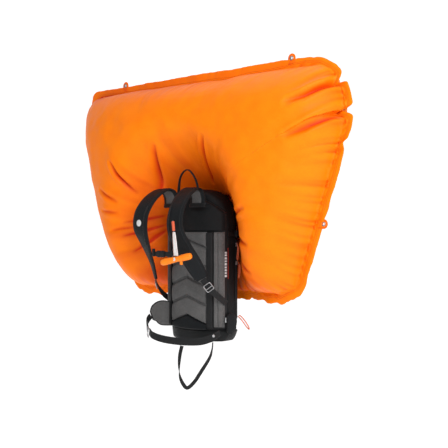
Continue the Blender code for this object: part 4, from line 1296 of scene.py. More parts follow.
    def assemble(self, x: np.ndarray, z: np.ndarray, front: np.ndarray, rear: np.ndarray,
                 fold: np.ndarray) -> bpy.types.Object:
        """Join the sheets at the rim and round the core line, with cloth coordinates.

        Args:
            x, z: each point's place in the bag's plane.
            front, rear: the sheets' depths.
            fold: the shade painted on each point, front sheet first.

        Returns:
            The finished skin.
        """
        rows, count = x.shape
        self.close_core(front, rear)
        near = np.stack([x, front, z], axis=-1).reshape(-1, 3)
        far = np.stack([x, rear, z], axis=-1).reshape(-1, 3)
        base = rows * count
        faces = [list(f) for f in grid_faces(rows, count, wrap=True)]
        faces += [list(f)[::-1] for f in grid_faces(rows, count, wrap=True, start=base)]
        faces += [[j, (j + 1) % count, base + (j + 1) % count, base + j][::-1]
                  for j in range(count)]
        points = np.vstack([near, far])
        uvs = points[:, [0, 2]]
        item = make_object("airbag_skin", points, faces, uvs)
        shape = bmesh.new()
        shape.from_mesh(item.data)
        bmesh.ops.remove_doubles(shape, verts=shape.verts, dist=2e-5)
        shape.to_mesh(item.data)
        shape.free()
        outward(item)
        item.data.shade_smooth()
        self.mark_folds(item, points, fold.ravel())
        return item

    @staticmethod
    def mark_folds(item: bpy.types.Object, points: np.ndarray, fold: np.ndarray) -> None:
        """Store the painted shade on the mesh's own points, as the 'fold' attribute that darkens
        the nylon's colour.

        Args:
            item: the skin.
            points: the points before they were merged.
            fold: the painted shade for each of them.
        """
        mesh = item.data
        place = np.zeros(len(mesh.vertices) * 3, np.float32)
        mesh.vertices.foreach_get("co", place)
        place = place.reshape(-1, 3).astype(float)
        if len(place) == len(points):
            values = fold
        else:
            tidy = np.round(points.astype(np.float32).astype(float) * 1e4).astype(int)
            keys = {tuple(p): f for p, f in zip(tidy.tolist(), fold)}
            found = np.round(place * 1e4).astype(int).tolist()
            values = np.array([keys.get(tuple(p), 0.0) for p in found])
        # the 'fold' attribute carries the painted shade to the nylon's material
        layer = mesh.attributes.new("fold", "FLOAT", "POINT")
        layer.data.foreach_set("value", np.asarray(values, np.float32))


@dataclass
class AirbagParts:
    """The bag with its seam stitches, tabs with eyelets, and neck."""

    bag: Airbag = field(default_factory=Airbag)

    def build(self) -> None:
        """Make and hang every piece of the airbag."""
        rim, flange = self.bag.ragged(self.bag.outline())
        install(self.bag.skin(), NYLON, replaces=["airbag"])
        self.stitches(rim, flange)
        self.tabs()
        self.neck()

    def stitches(self, rim: np.ndarray, flange: np.ndarray) -> None:
        """Two rows of stitches that run round the seam, on the side that faces the wearer.

        Args:
            rim: the outline.
            flange: the flange's width along it.
        """
        ways = unit(rim - self.bag.core())
        lines = []
        for inset in (0.0048, 0.0105):
            spot = rim - ways * (flange - inset)[:, None]
            s = lengths(rim)
            wave = 0.0032 * (ripple(s, 0.042, 21) + 0.5 * ripple(s, 0.017, 22))
            on = smooth(0.0, 1.0, (flange - inset) / flange)
            y = self.bag.seam_y - 0.5 * self.bag.sheet + wave * (1 - on) - 0.0003
            line = np.column_stack([spot[:, 0], y, spot[:, 1]])
            lines.append(np.vstack([line, line[:1]]))
        ROWS.lay("airbag_seam_stitches", lines, ORANGE_THREAD, Spacing=0.0046, Length=0.0031,
                 Thickness=0.00045)

    def tabs(self) -> None:
        """The hanging tabs at the rim, each with a metal eyelet."""
        bag = self.bag
        side = bag.half_width(np.array([0.282, 0.282]), np.array([False, True]))
        places = {"upper_left": (-0.440, bag.top, 0.0), "upper_right": (0.345, bag.top, 0.0),
                  "side_left": (-float(side[0]), 0.282, 90.0),
                  "side_right": (float(side[1]), 0.282, -90.0)}
        for word, (x, z, turn) in places.items():
            tab = self.tab(f"airbag_tab_{word}", x, z, turn)
            install(tab, FLANGE)
            ring = turned(f"airbag_eyelet_{word}", [
                (0.0043, -0.0024), (0.0062, -0.0024), (0.0071, -0.0017), (0.0062, -0.0012),
                (0.0049, -0.0011), (0.0049, 0.0011), (0.0062, 0.0012), (0.0071, 0.0017),
                (0.0062, 0.0024), (0.0043, 0.0024)], (x, bag.seam_y, z), (0, 1, 0), closed=True)
            install(ring, BRIGHT_STEEL)

    def tab(self, name: str, x: float, z: float, turn: float) -> bpy.types.Object:
        """One tab: a flat tongue with a rounded end and a hole for the eyelet.

        Args:
            name: the tab's name.
            x, z: its root.
            turn: its angle.

        Returns:
            The tab.
        """
        count = 48
        turns = np.linspace(0, 2 * math.pi, count, endpoint=False)
        hole = 0.0049 * np.column_stack([np.cos(turns), np.sin(turns)])
        wide = 0.0150
        c, s = np.cos(turns), np.sin(turns)
        reach = wide / np.maximum(np.maximum(np.abs(c), -s * 0.62), 1e-6)
        radius = np.where(s > 0, wide, np.minimum(reach, 0.026))
        rim = radius[:, None] * np.column_stack([c, s])
        angle = math.radians(turn)
        spin = np.array([[math.cos(angle), -math.sin(angle)], [math.sin(angle), math.cos(angle)]])
        flat = [(hole, 0.0009), (rim - 0.0012 * np.column_stack([c, s]), 0.0012), (rim, 0.0),
                (rim - 0.0012 * np.column_stack([c, s]), -0.0012), (hole, -0.0009)]
        rings = []
        for plan, lift in flat:
            at = plan @ spin.T
            rings.append(np.column_stack([x + at[:, 0], np.full(count, self.bag.seam_y + lift),
                                          z + at[:, 1]]))
        rings = np.array(rings)
        return tube_mesh(name, rings, rings[..., [0, 2]], closed=True, sharp=50)

    def neck(self) -> None:
        """The cloth neck that joins the inflator to the bag, gathered under its clamp."""
        turns = np.linspace(0, 2 * math.pi, 72, endpoint=False)
        rings = []
        rows = np.linspace(0.1010, 0.1790, 26)
        for y in rows:
            flare = smooth(0.112, 0.160, y)
            gather = 0.0009 * (1 - 0.7 * flare) * np.cos(24 * turns)
            radius = (NECK_RADIUS - 0.0008 + 0.004 * flare + gather) * (
                1 - 0.04 * math.exp(-((y - 0.106) / 0.004) ** 2))
            rings.append(np.column_stack([radius * np.cos(turns), np.full(72, y),
                                          NECK_HEIGHT + radius * np.sin(turns)]))
        rings = np.array(rings)
        uvs = np.stack([np.broadcast_to(turns * NECK_RADIUS, rings.shape[:2]),
                        np.broadcast_to(rows[:, None], rings.shape[:2])], axis=-1)
        install(tube_mesh("airbag_neck", rings, uvs), NYLON)


# ---- the pack's body -----------------------------------------------------------------------

def body_scale(z: float) -> float:
    """How far the pack's section is drawn in at a height, at its shoulders and its base."""
    if z > SHOULDER_START:
        rise = min((z - SHOULDER_START) / (PACK_TOP - SHOULDER_START), 0.999)
        return (1 - rise ** 2.5) ** 0.4
    return 1 - 0.12 * max(0.0, (-0.06 - z) / 0.04) ** 2


def face_y(x: float, depth: float = 0.0) -> float:
    """Where the back panel's face is at a distance from the middle, sunk by a depth."""
    return depth + PANEL_RECESS * (abs(x) / HALF_WIDTH) ** 3


def body_ring(z: float, inset: float, turns: np.ndarray) -> np.ndarray:
    """The pack body's section at a height as points (x, y, z).

    Args:
        z: height of the ring.
        inset: how far it lies inside the cloth.
        turns: angles round the pack.

    Returns:
        One point for each angle.
    """
    scale = body_scale(z)
    half = HALF_WIDTH * scale - inset
    rear = (PACK_REAR - PACK_MIDDLE) * (0.35 + 0.65 * scale) - inset
    ring = []
    for turn in turns:
        c, s = math.cos(turn), math.sin(turn)
        if s >= 0:
            ring.append((half * math.copysign(abs(c) ** (2 / 3), c),
                         PACK_MIDDLE + rear * s ** (2 / 3), z))
        else:
            x = half * c
            face = face_y(x, SHELL_FACE) + inset
            ring.append((x, PACK_MIDDLE - (PACK_MIDDLE - face) * (1 - abs(c) ** 5) ** 0.2, z))
    return np.array(ring)


@dataclass
class PackBody:
    """The cloth body, its tough base and everything sewn or printed on them."""

    columns: int = 208
    rows: int = 168
    port_radius: float = 0.0395

    def build(self) -> None:
        """Make and hang every piece of the body."""
        install(self.shell(), BODY_CLOTH, replaces=["pack_shell"])
        install(self.cover(), BASE_CLOTH, replaces=["base_cover"])
        self.piping()
        self.side_mark()
        self.tag()

    def turns(self) -> np.ndarray:
        """Angles of the section's points, closer together at its corners."""
        even = np.linspace(0, 2 * math.pi, self.columns, endpoint=False)
        return even + 0.10 * np.sin(4 * even)

    def wrinkles(self, ring: np.ndarray, z: float) -> np.ndarray:
        """How far the cloth sinks at a ring's points: soft folds, deeper at the upper sides.

        Args:
            ring: the ring's points.
            z: its height.

        Returns:
            The moved points.
        """
        x, y = ring[:, 0], ring[:, 1]
        side = smooth(0.085, 0.122, np.abs(x))
        upper = smooth(0.12, 0.27, z) * (1 - smooth(0.345, 0.392, z))
        folds = 0.0034 * (0.5 + 0.5 * ripple(y + 0.10 * z, 0.0105, 61)) * side * upper
        loose = 0.0012 * (0.5 + 0.5 * ripple2(y + x, np.full_like(y, z), 0.030, 63))
        sag = 0.0020 * side * (0.5 + 0.5 * ripple2(y, np.full_like(y, z), 0.052, 67)) * (1 - upper)
        seam = 0.0010 * np.exp(-((z - 0.262) / 0.0022) ** 2) * side
        return folds + loose + sag + seam

    def shell(self) -> bpy.types.Object:
        """The body's cloth as one closed skin with a thin wall and a port for the airbag's neck."""
        turns = self.turns()
        levels = PACK_BOTTOM + 0.001 + (PACK_TOP - PACK_BOTTOM - 0.002) * np.linspace(
            0, 1, self.rows)
        levels[levels > 0.385] = 0.385 + (levels[levels > 0.385] - 0.385) * 0.98
        outer, inner, uv = [], [], []
        for z in levels:
            base = body_ring(float(z), 0.0, turns)
            away = base[:, :2] - np.array([0.0, PACK_MIDDLE])
            away = away / np.linalg.norm(away, axis=1)[:, None]
            sink = self.wrinkles(base, float(z)) * np.where(base[:, 1] > 0.045, 1.0, 0.2)
            hit = np.hypot(base[:, 0], z - NECK_HEIGHT)
            push = np.where((base[:, 1] > PACK_MIDDLE) & (hit < 0.055),
                            0.0014 * smooth(0.036, 0.055, hit), 0.0014)
            near = base.copy()
            near[:, :2] -= away * (0.0002 + np.minimum(sink, 0.0045) * (push / 0.0014))[:, None]
            outer.append(near)
            wall = base.copy()
            wall[:, :2] -= away * (0.0022 + np.minimum(sink, 0.0045))[:, None]
            inner.append(wall)
            far = lengths(np.vstack([base, base[:1]]))[:-1]
            uv.append(np.column_stack([far, np.full(len(far), z)]))
        outer, inner, uv = np.array(outer), np.array(inner), np.array(uv)
        rows, count = outer.shape[:2]
        base = rows * count
        hole = (np.hypot(outer[..., 0], outer[..., 2] - NECK_HEIGHT) < self.port_radius) & (
            outer[..., 1] > PACK_MIDDLE)
        faces = []
        rim_edges: dict[tuple[int, int], int] = {}
        for quad in grid_faces(rows, count, wrap=True):
            if hole.ravel()[quad].any():
                continue
            faces.append(list(quad))
            faces.append([int(v) + base for v in quad[::-1]])
            for a, b in zip(quad, np.roll(quad, -1)):
                key = (int(min(a, b)), int(max(a, b)))
                rim_edges[key] = rim_edges.get(key, 0) + 1
        points = np.vstack([outer.reshape(-1, 3), inner.reshape(-1, 3)])
        top, low = list(range((rows - 1) * count, rows * count)), list(range(count))
        for (a, b), used in rim_edges.items():
            on_end = (a in low_set(low) and b in low_set(low)) or (a >= top[0] and b >= top[0])
            if used == 1 and not on_end:
                faces.append([a, b, b + base, a + base])
        faces += [low, top[::-1], [v + base for v in low[::-1]], [v + base for v in top]]
        item = make_object("pack_body_cloth", points, faces, np.vstack([uv.reshape(-1, 2)] * 2), 65)
        return item

    def cover(self) -> bpy.types.Object:
        """The tougher cloth round the bottom, with its turned hem."""
        turns = self.turns()
        heights = [-0.1022, -0.1021, -0.1012, -0.0996, -0.0970, -0.0930, -0.0880, -0.0830,
                   -0.0780, -0.0740, -0.0705, -0.0690, -0.0682, -0.0682, -0.0690, -0.0740]
        insets = [0.020, 0.004, -0.0002, -0.0012, -0.0016, -0.0016, -0.0016, -0.0016,
                  -0.0016, -0.0016, -0.0021, -0.0021, -0.0018, -0.0009, -0.0007, -0.0007]
        rings, uv = [], []
        for z, inset in zip(heights, insets):
            level = max(z, PACK_BOTTOM)
            ring = body_ring(level, 0.0, turns)
            away = ring[:, :2] - np.array([0.0, PACK_MIDDLE])
            away = away / np.linalg.norm(away, axis=1)[:, None]
            bag = 0.0007 * ripple2(ring[:, 1] + ring[:, 0], np.full(len(ring), z), 0.03, 71)
            ring[:, :2] -= away * (inset + (bag if inset < -0.001 else 0.0 * bag))[:, None]
            ring[:, 2] = z
            rings.append(ring)
            far = lengths(np.vstack([ring, ring[:1]]))[:-1]
            uv.append(np.column_stack([far, np.full(len(far), z)]))
        return tube_mesh("base_cover_cloth", np.array(rings), np.array(uv), sharp=60)

    def piping(self) -> None:
        """Piping along the body's rear seam and round its shoulders, with stitches beside it."""
        lines, rows = [], []
        for side in Side:
            path = []
            for z in np.linspace(-0.060, 0.330, 90):
                ring = body_ring(float(z), 0.0, np.array([math.radians(60)]))[0]
                path.append((side.value * abs(ring[0]), ring[1] + 0.0003, z))
            path = np.array(path)
            cord = round_tube(f"body_piping_{side.word}", path, 0.0016, 8)
            install(cord, BINDING)
            lines.append(path + np.array([side.value * 0.0042, -0.0030, 0.0]))
            rows.append(path)
        ring = body_ring(-0.066, 0.0, self.turns())
        away = ring[:, :2] - np.array([0.0, PACK_MIDDLE])
        away = away / np.linalg.norm(away, axis=1)[:, None]
        hem = ring.copy()
        hem[:, :2] += away * 0.0022
        hem[:, 2] = -0.0728
        keep = hem[hem[:, 1] > 0.062]
        order = np.argsort(np.arctan2(keep[:, 1] - 0.05, keep[:, 0]))
        lines.append(keep[order])
        ROWS.lay("body_stitches", lines, THREAD, Spacing=0.0042, Length=0.0028, Thickness=0.00040)

    def side_mark(self) -> None:
        """A plain printed column of bars and a thin red line on the right side panel."""
        bars = []
        levels = [(0.110, 0.0075), (0.1205, 0.0055), (0.129, 0.0068), (0.1385, 0.0060),
                  (0.148, 0.0080), (0.159, 0.0052), (0.1675, 0.0070), (0.178, 0.0062),
                  (0.1865, 0.0056)]
        for i, (z, tall) in enumerate(levels):
            bars.append(moulded_block(f"bar_{i}", (0.1292, 0.0490, z), (0.1302, 0.0590, z + tall),
                                      0.0002, 1))
        install(join("side_mark_bars", bars), REFLECTIVE)
        line = moulded_block("side_mark_line", (0.1292, 0.0642, 0.104), (0.1302, 0.0654, 0.205),
                             0.0002, 1)
        install(line, RED_PRINT)

    def tag(self) -> None:
        """The small silver size tag sewn to the right hip fin."""
        plate = moulded_block("silver_tag", (0.1352, 0.0440, -0.0370), (0.1376, 0.0560, -0.0210),
                              0.0005, 2)
        install(plate, ALLOY)


def low_set(low: list[int]) -> range:
    """The first ring's point numbers, as a range that is quick to search."""
    return range(low[0], low[-1] + 1)


# ---- the back panel ------------------------------------------------------------------------

@dataclass
class BackSystem:
    """Padded back panel, lumbar frame, yoke, spine tapes and side pads."""

    pad_half: float = 0.080
    chevron_drop: float = 0.36
    chevrons: tuple[float, ...] = (0.046, 0.108, 0.170, 0.232)

    def build(self) -> None:
        """Make and hang every piece of the back."""
        self.back_pad()
        self.lumbar()
        self.yoke()
        self.tapes()
        self.side_pads()

    def slab(self, name: str, columns: np.ndarray, low: Callable, high: Callable, front: Callable,
             rear: float, rows: int, edge: float = 0.006) -> bpy.types.Object:
        """A padded slab whose face follows a height map, with rounded borders.

        Args:
            name: the object's name.
            columns: the x of each column.
            low: its lower edge's z at an x.
            high: its upper edge's z at an x.
            front: the face's lift toward the wearer, from 0 to 1, at (x, z) arrays.
            rear: how deep it is behind the panel's face.
            rows: points up each column.
            edge: how far in from the border it rounds off.

        Returns:
            The new object.
        """
        x = np.broadcast_to(columns[:, None], (len(columns), rows)).copy()
        share = np.linspace(0, 1, rows)[None]
        lows = np.array([low(c) for c in columns])[:, None]
        highs = np.array([high(c) for c in columns])[:, None]
        z = lows + (highs - lows) * share
        from_side = np.minimum(x - columns[0], columns[-1] - x)
        inset = np.minimum(from_side, np.minimum(z - lows, highs - z))
        t = np.clip(inset / edge, 0, 1)
        crown = np.sqrt(np.clip(1 - (1 - t) ** 2, 0, 1))
        base = PANEL_RECESS * (np.abs(x) / HALF_WIDTH) ** 3
        lift = crown * front(x, z)
        y_front = base + rear - (rear - 0.0002) * np.clip(0.10 + 0.90 * lift, 0, 1)
        y_rear = base + rear
        rings = []
        near = np.stack([x, y_front, z], axis=-1)
        far = np.stack([x, y_rear, z], axis=-1)
        for i in range(len(columns)):
            rings.append(np.vstack([near[i], far[i][::-1]]))
        rings = np.array(rings)
        return tube_mesh(name, rings, rings[..., [0, 2]], sharp=60)

    def back_pad(self) -> None:
        """The ribbed foam pad, with its chevron grooves and puffed bars between them."""
        columns = np.linspace(-self.pad_half + 0.0006, self.pad_half - 0.0006, 97)

        def face(x: np.ndarray, z: np.ndarray) -> np.ndarray:
            """How full the pad is, with a groove along each chevron.

            Args:
                x, z: place on the pad.

            Returns:
                The fullness at each place.
            """
            height = z + self.chevron_drop * np.abs(x)
            groove = np.zeros_like(x)
            for apex in self.chevrons:
                groove = np.maximum(groove, np.exp(-np.abs((height - apex) / 0.0042) ** 2.0))
            middle = np.exp(-(x / 0.0065) ** 2) * 0.25
            puff = 0.86 + 0.14 * np.cos(2 * np.pi * (height - 0.015) / 0.062)
            soft = 0.04 * ripple2(x, z, 0.022, 81) + 0.03 * ripple2(x, z, 0.009, 83)
            return np.clip(puff - 0.82 * groove - middle * 0.3 + soft, 0, 1)

        pad = self.slab("back_pad_mesh", columns,
                        lambda x: -0.016 - self.chevron_drop * abs(x) + 0.0006,
                        lambda x: PAD_TOP - 0.0006, face, PAD_DEPTH - 0.0004, 170)
        install(pad, GREY_MESH, replaces=["back_pad"])
        lines = []
        for apex in self.chevrons:
            for off in (-0.0036, 0.0036):
                xs = np.linspace(-0.074, 0.074, 90)
                zs = apex + off - self.chevron_drop * np.abs(xs)
                ys = np.array([face_y(v) for v in xs]) + 0.0052
                lines.append(np.column_stack([xs, ys, zs]))
        ROWS.lay("back_pad_stitches", lines, THREAD, Spacing=0.0040, Length=0.0026,
                 Thickness=0.00038)

    def lumbar(self) -> None:
        """The smooth black frame below the ribbed pad."""
        columns = np.linspace(-self.pad_half + 0.0006, self.pad_half - 0.0006, 81)

        def face(x: np.ndarray, z: np.ndarray) -> np.ndarray:
            """How full the lumbar border is."""
            return np.clip(0.90 + 0.05 * ripple2(x, z, 0.030, 85)
                           + 0.07 * np.cos(x / 0.080 * np.pi * 0.5), 0, 1)

        pad = self.slab("lumbar_border_cloth", columns, lambda x: -0.066 + 0.5 * x * x + 0.0006,
                        lambda x: -0.016 - self.chevron_drop * abs(x) - 0.0006, face,
                        PAD_DEPTH - 0.0004, 44, edge=0.007)
        install(pad, STRAP_CLOTH, replaces=["lumbar_border"])

    def yoke(self) -> None:
        """The panel between the strap roots."""
        columns = np.linspace(-0.1278, 0.1278, 121)
        top = lambda x: YOKE_TOP - 0.055 * (abs(x) / HALF_WIDTH) ** 2.6 - 0.0006

        def face(x: np.ndarray, z: np.ndarray) -> np.ndarray:
            """How full the yoke is, pressed in at each strap's root."""
            root = np.exp(-(((np.abs(x) - 0.060) / 0.036) ** 6)) * smooth(0.325, 0.338, z)
            return np.clip(0.80 - 0.30 * root + 0.07 * ripple2(x, z, 0.026, 87)
                           + 0.03 * ripple2(x, z, 0.010, 89), 0.2, 1)

        panel = self.slab("yoke_panel_cloth", columns, lambda x: 0.2594, top, face,
                          PAD_DEPTH - 0.0004, 52, edge=0.005)
        install(panel, BODY_CLOTH, replaces=["yoke_panel"])

    def tapes(self) -> None:
        """The two flat tapes that edge the pad."""
        for side in Side:
            columns = np.sort(side.value * np.linspace(0.0808, 0.1000, 13))
            low = lambda x: -0.060 + 0.0006
            tape = self.slab(f"spine_tape_{side.word}", columns, low,
                             lambda x: PAD_TOP - 0.0008,
                             lambda x, z: np.full_like(x, 0.92) + 0.05 * ripple2(x, z, 0.02, 91),
                             PAD_DEPTH - 0.0006, 110, edge=0.0022)
            install(tape, WEBBING, replaces=[f"spine_webbing_{side.word}"])

    def side_pads(self) -> None:
        """The narrow grey pads that wrap toward the pack's sides."""
        for side in Side:
            columns = np.sort(side.value * np.linspace(0.1014, 0.1274, 25))

            def face(x: np.ndarray, z: np.ndarray) -> np.ndarray:
                """How full the side pad is, with one groove."""
                groove = np.exp(-((np.abs(x) - 0.1145) / 0.0016) ** 2)
                return np.clip(0.93 - 0.35 * groove + 0.05 * ripple2(x, z, 0.018, 93), 0, 1)

            pad = self.slab(f"side_pad_cloth_{side.word}", columns, lambda x: -0.054,
                            lambda x: PAD_TOP - 0.0008, face, PAD_DEPTH - 0.0006, 120,
                            edge=0.006)
            install(pad, GREY_MESH, replaces=[f"side_pad_{side.word}"])


# ---- harness -------------------------------------------------------------------------------

STRAP_WIDTH = 0.064
STRAP_END = 0.040
STRAP_DEPTH = 0.012
TAPE_DEPTH = 0.002


def padded_section(depth_share: float = 1.0, count: int = 40) -> np.ndarray:
    """The section of a padded strap: domed face, flatter back, pinched edges.

    Args:
        depth_share: share of the full thickness.
        count: points round the section.

    Returns:
        Rows of (across, out) shares.
    """
    turns = np.linspace(0, 2 * math.pi, count, endpoint=False)
    c, s = np.cos(turns), np.sin(turns)
    across = 0.5 * np.sign(c) * np.abs(c) ** 0.55
    dome = np.where(s > 0, 0.5, 0.5) * depth_share * np.sign(s) * np.abs(s) ** 0.8
    return np.stack([across, dome], axis=1)


@dataclass
class ShoulderStrap:
    """One padded strap: grey mesh underside, black cover, bound edges, webbing and adjuster."""

    side: Side

    def stations(self) -> list:
        """The strap's line over the shoulder, from its root on the yoke to its lower end."""
        k = self.side.value
        wide, end = STRAP_WIDTH, STRAP_END
        return [((k * 0.060, -STRAP_DEPTH / 2 - GAP, 0.342), (0, 1, 0), wide),
                ((k * 0.061, -0.0075, 0.372), (0, 1, 0), wide),
                ((k * 0.063, -0.024, 0.394), (0, 0.5, 0.85), wide),
                ((k * 0.068, -0.054, 0.392), (0, -0.25, 0.96), wide),
                ((k * 0.074, -0.096, 0.362), (0, -0.75, 0.65), wide),
                ((k * 0.079, -0.126, 0.315), (0, -0.97, 0.2), wide),
                ((k * 0.081, -0.128, 0.262), (k * 0.05, -1, 0), wide),
                ((k * 0.087, -0.097, 0.205), (k * 0.25, -0.95, -0.1), wide - 0.006),
                ((k * 0.097, -0.062, 0.152), (k * 0.45, -0.88, -0.1), (wide + end) / 2),
                ((k * 0.108, -0.036, 0.108), (k * 0.6, -0.8, -0.1), end)]

    def build(self) -> None:
        """Make and hang every piece of the strap."""
        word = self.side.word
        band = Ribbon(self.stations(), STRAP_DEPTH * 0.94, steps=16)
        install(self.padding(band), STRAP_CLOTH, replaces=[f"shoulder_strap_{word}"])
        install(self.lining(band), GREY_MESH)
        lines = []
        for edge in (-1, 1):
            across = np.full((len(band.path), 1), 0.4985 * edge)
            rim = band.place(across, np.zeros((len(band.path), 1)))[:, 0]
            cord = round_tube(f"strap_binding_{word}_{'a' if edge < 0 else 'b'}",
                              rim[4:-2], 0.0023, 10)
            install(cord, BINDING)
            lines.append(band.edge_line(0.0070, 0.0000, edge, 1)[5:-4]
                         - band.out[5:-4] * 0.0012)
        ROWS.lay(f"strap_stitches_{word}", lines, THREAD, Spacing=0.0042, Length=0.0028,
                 Thickness=0.00040)
        self.rails(band)
        self.root_tape()
        self.webbing()
        self.lock()
        self.patch(band)

    def padding(self, band: Ribbon) -> bpy.types.Object:
        """The padded body with soft dents and quilting across it.

        Args:
            band: the strap's ribbon.

        Returns:
            The padding's mesh.
        """
        section = padded_section()
        rows, count = len(band.path), len(section)
        across = np.broadcast_to(section[:, 0], (rows, count)).copy()
        out = np.broadcast_to(section[:, 1], (rows, count)).copy()
        s = band.along[:, None]
        face = np.clip(out, 0, 1) * 2
        dents = 0.10 * ripple2(across * 0.064, np.broadcast_to(s, across.shape), 0.020,
                               101 + self.side.value)
        folds = 0.10 * np.exp(-((s - 0.085) / 0.006) ** 2) + 0.08 * np.exp(
            -((s - 0.060) / 0.004) ** 2)
        out = out - face * (np.abs(dents) + folds) * 0.6
        rings = band.place(across, out)
        uvs = np.stack([across * band.widths[:, None],
                        np.broadcast_to(s, across.shape)], axis=-1)
        return tube_mesh(f"strap_padding_{self.side.word}", rings, uvs)

    def lining(self, band: Ribbon) -> bpy.types.Object:
        """The grey mesh that faces the wearer, a little proud of the padding's underside.

        Args:
            band: the strap's ribbon.

        Returns:
            The lining's mesh.
        """
        rows = len(band.path)
        across = np.linspace(-0.455, 0.455, 27)
        low = -0.5 * np.clip(1 - (np.abs(across) / 0.5) ** 3.2, 0, 1) ** 0.8 - 0.055
        high = low + 0.10
        section_across = np.concatenate([across, across[::-1]])
        section_out = np.concatenate([low, high[::-1]])
        keep = slice(2, rows - 2)
        grid_a = np.broadcast_to(section_across, (rows, 54))
        grid_o = np.broadcast_to(section_out, (rows, 54))
        rings = band.place(grid_a, grid_o)[keep]
        uvs = np.stack([grid_a * band.widths[:, None],
                        np.broadcast_to(band.along[:, None], grid_a.shape)], axis=-1)[keep]
        return tube_mesh(f"strap_lining_{self.side.word}", rings, uvs)

    def rails(self, band: Ribbon) -> None:
        """The sternum rail down the strap's inner side, with bar tacks.

        Args:
            band: the strap's ribbon.
        """
        edge = -self.side.value * np.sign(band.across[40][0] or 1.0)
        spots = [i for i, s in enumerate(band.along) if 0.17 < s < 0.30]
        path = band.place(np.full((len(band.path), 1), edge * 0.34),
                          np.full((len(band.path), 1), 0.50))[:, 0][spots]
        rail = round_tube(f"sternum_rail_{self.side.word}", path, 0.0016, 10)
        install(rail, BLACK_MOULDING)
        tacks = []
        for i in np.linspace(2, len(spots) - 3, 6).astype(int):
            centre = path[i]
            tacks.append(self.tack(f"rail_tack_{self.side.word}_{i}", centre, band, spots[i]))
        install(join(f"rail_tacks_{self.side.word}", tacks), BLACK_MOULDING)

    @staticmethod
    def tack(name: str, centre: np.ndarray, band: Ribbon, index: int) -> bpy.types.Object:
        """One small bar tack across the rail.

        Args:
            name: the tack's name.
            centre: its middle.
            band: the strap's ribbon.
            index: station on the ribbon.

        Returns:
            The tack.
        """
        half = band.across[index] * 0.0034
        line = np.array([centre - half + band.out[index] * 0.0010,
                         centre + band.out[index] * 0.0018,
                         centre + half + band.out[index] * 0.0010])
        return round_tube(name, line, 0.0006, 6)

    def root_tape(self) -> None:
        """The tape that sews the strap's root down to the yoke, with two rows of stitches."""
        k, word = self.side.value, self.side.word
        line = [((k * 0.060 - 0.034, 0.0000, 0.3435), (0, -1, 0), 0.0130),
                ((k * 0.060 - 0.031, -0.0105, 0.3440), (0, -1, 0), 0.0135),
                ((k * 0.060, -0.0140, 0.3445), (0, -1, 0), 0.0140),
                ((k * 0.060 + 0.031, -0.0105, 0.3440), (0, -1, 0), 0.0135),
                ((k * 0.060 + 0.034, 0.0000, 0.3435), (0, -1, 0), 0.0130)]
        band = Ribbon(line, 0.0012, steps=12)
        install(band.skin(f"strap_root_tape_{word}"), BINDING)
        lines = [band.edge_line(0.0026, 0.0001, edge)[3:-3] for edge in (-1, 1)]
        ROWS.lay(f"strap_root_stitches_{word}", lines, THREAD, Spacing=0.0036, Length=0.0024,
                 Thickness=0.00034)

    def webbing(self) -> None:
        """The strap's lower webbing, from under the padding to the pack's side."""
        k, word = self.side.value, self.side.word
        stations = [((k * 0.1090, -0.0345, 0.1055), (k * 0.6, -0.8, -0.1), 0.020),
                    ((k * 0.122, -0.010, 0.072), (k * 0.7, -0.7, -0.1), 0.020),
                    ((k * 0.1310, 0.024, 0.044), (k * 0.94, -0.35, 0), 0.020),
                    ((k * 0.1316, 0.056, 0.024), (k, 0, 0), 0.020)]
        band = Ribbon(stations, TAPE_DEPTH, steps=22)
        install(band.skin(f"lower_webbing_{word}"), WEBBING, replaces=[f"strap_webbing_{word}"])
        lines = [band.edge_line(0.0022, 0.0001, edge) for edge in (-1, 1)]
        ROWS.lay(f"webbing_stitches_{word}", lines, THREAD, Spacing=0.0038, Length=0.0024,
                 Thickness=0.00032)

    def lock(self) -> None:
        """The ladder lock: a bent-wire frame with its tilting bar."""
        k, word = self.side.value, self.side.word
        outward_way = Vector((k * 0.66, -0.74, -0.1)).normalized()
        run = Vector((k * 0.013, 0.0245, -0.0335)).normalized()
        across = run.cross(outward_way).normalized()
        outward_way = across.cross(run)
        centre = Vector((k * 0.1185, -0.0165, 0.081)) + outward_way * 0.005
        body = Body.LOCK_LEFT if self.side is Side.LEFT else Body.LOCK_RIGHT
        ring = rounded_rectangle(centre, across, run, 0.0250, 0.0250, 0.0045, 7)
        frame_part = round_tube(f"lock_frame_{word}", ring, 0.00148, 12, closed=True)
        bar_line = np.array([centre - across * 0.0120 + run * 0.0020,
                             centre + across * 0.0120 + run * 0.0020])
        bar = round_tube(f"lock_bar_{word}", bar_line, 0.0014, 12)
        install(join(f"lock_{word}", [frame_part, bar]), BRIGHT_STEEL, body,
                [f"ladder_lock_{word}"])

    def patch(self, band: Ribbon) -> None:
        """A plain round patch on the left strap.

        Args:
            band: the strap's ribbon.
        """
        if self.side is Side.RIGHT:
            return
        index = int(np.argmin(np.linalg.norm(band.path - np.array([-0.082, -0.130, 0.286]),
                                             axis=1)))
        centre = band.path[index] + band.out[index] * (STRAP_DEPTH * 0.47 - 0.0006)
        disc = turned("round_patch", [(0.0001, 0.0014), (0.0098, 0.0014), (0.0106, 0.0010),
                                      (0.0108, 0.0), (0.0001, -0.0004)],
                      centre, band.out[index], 40)
        install(disc, REFLECTIVE)


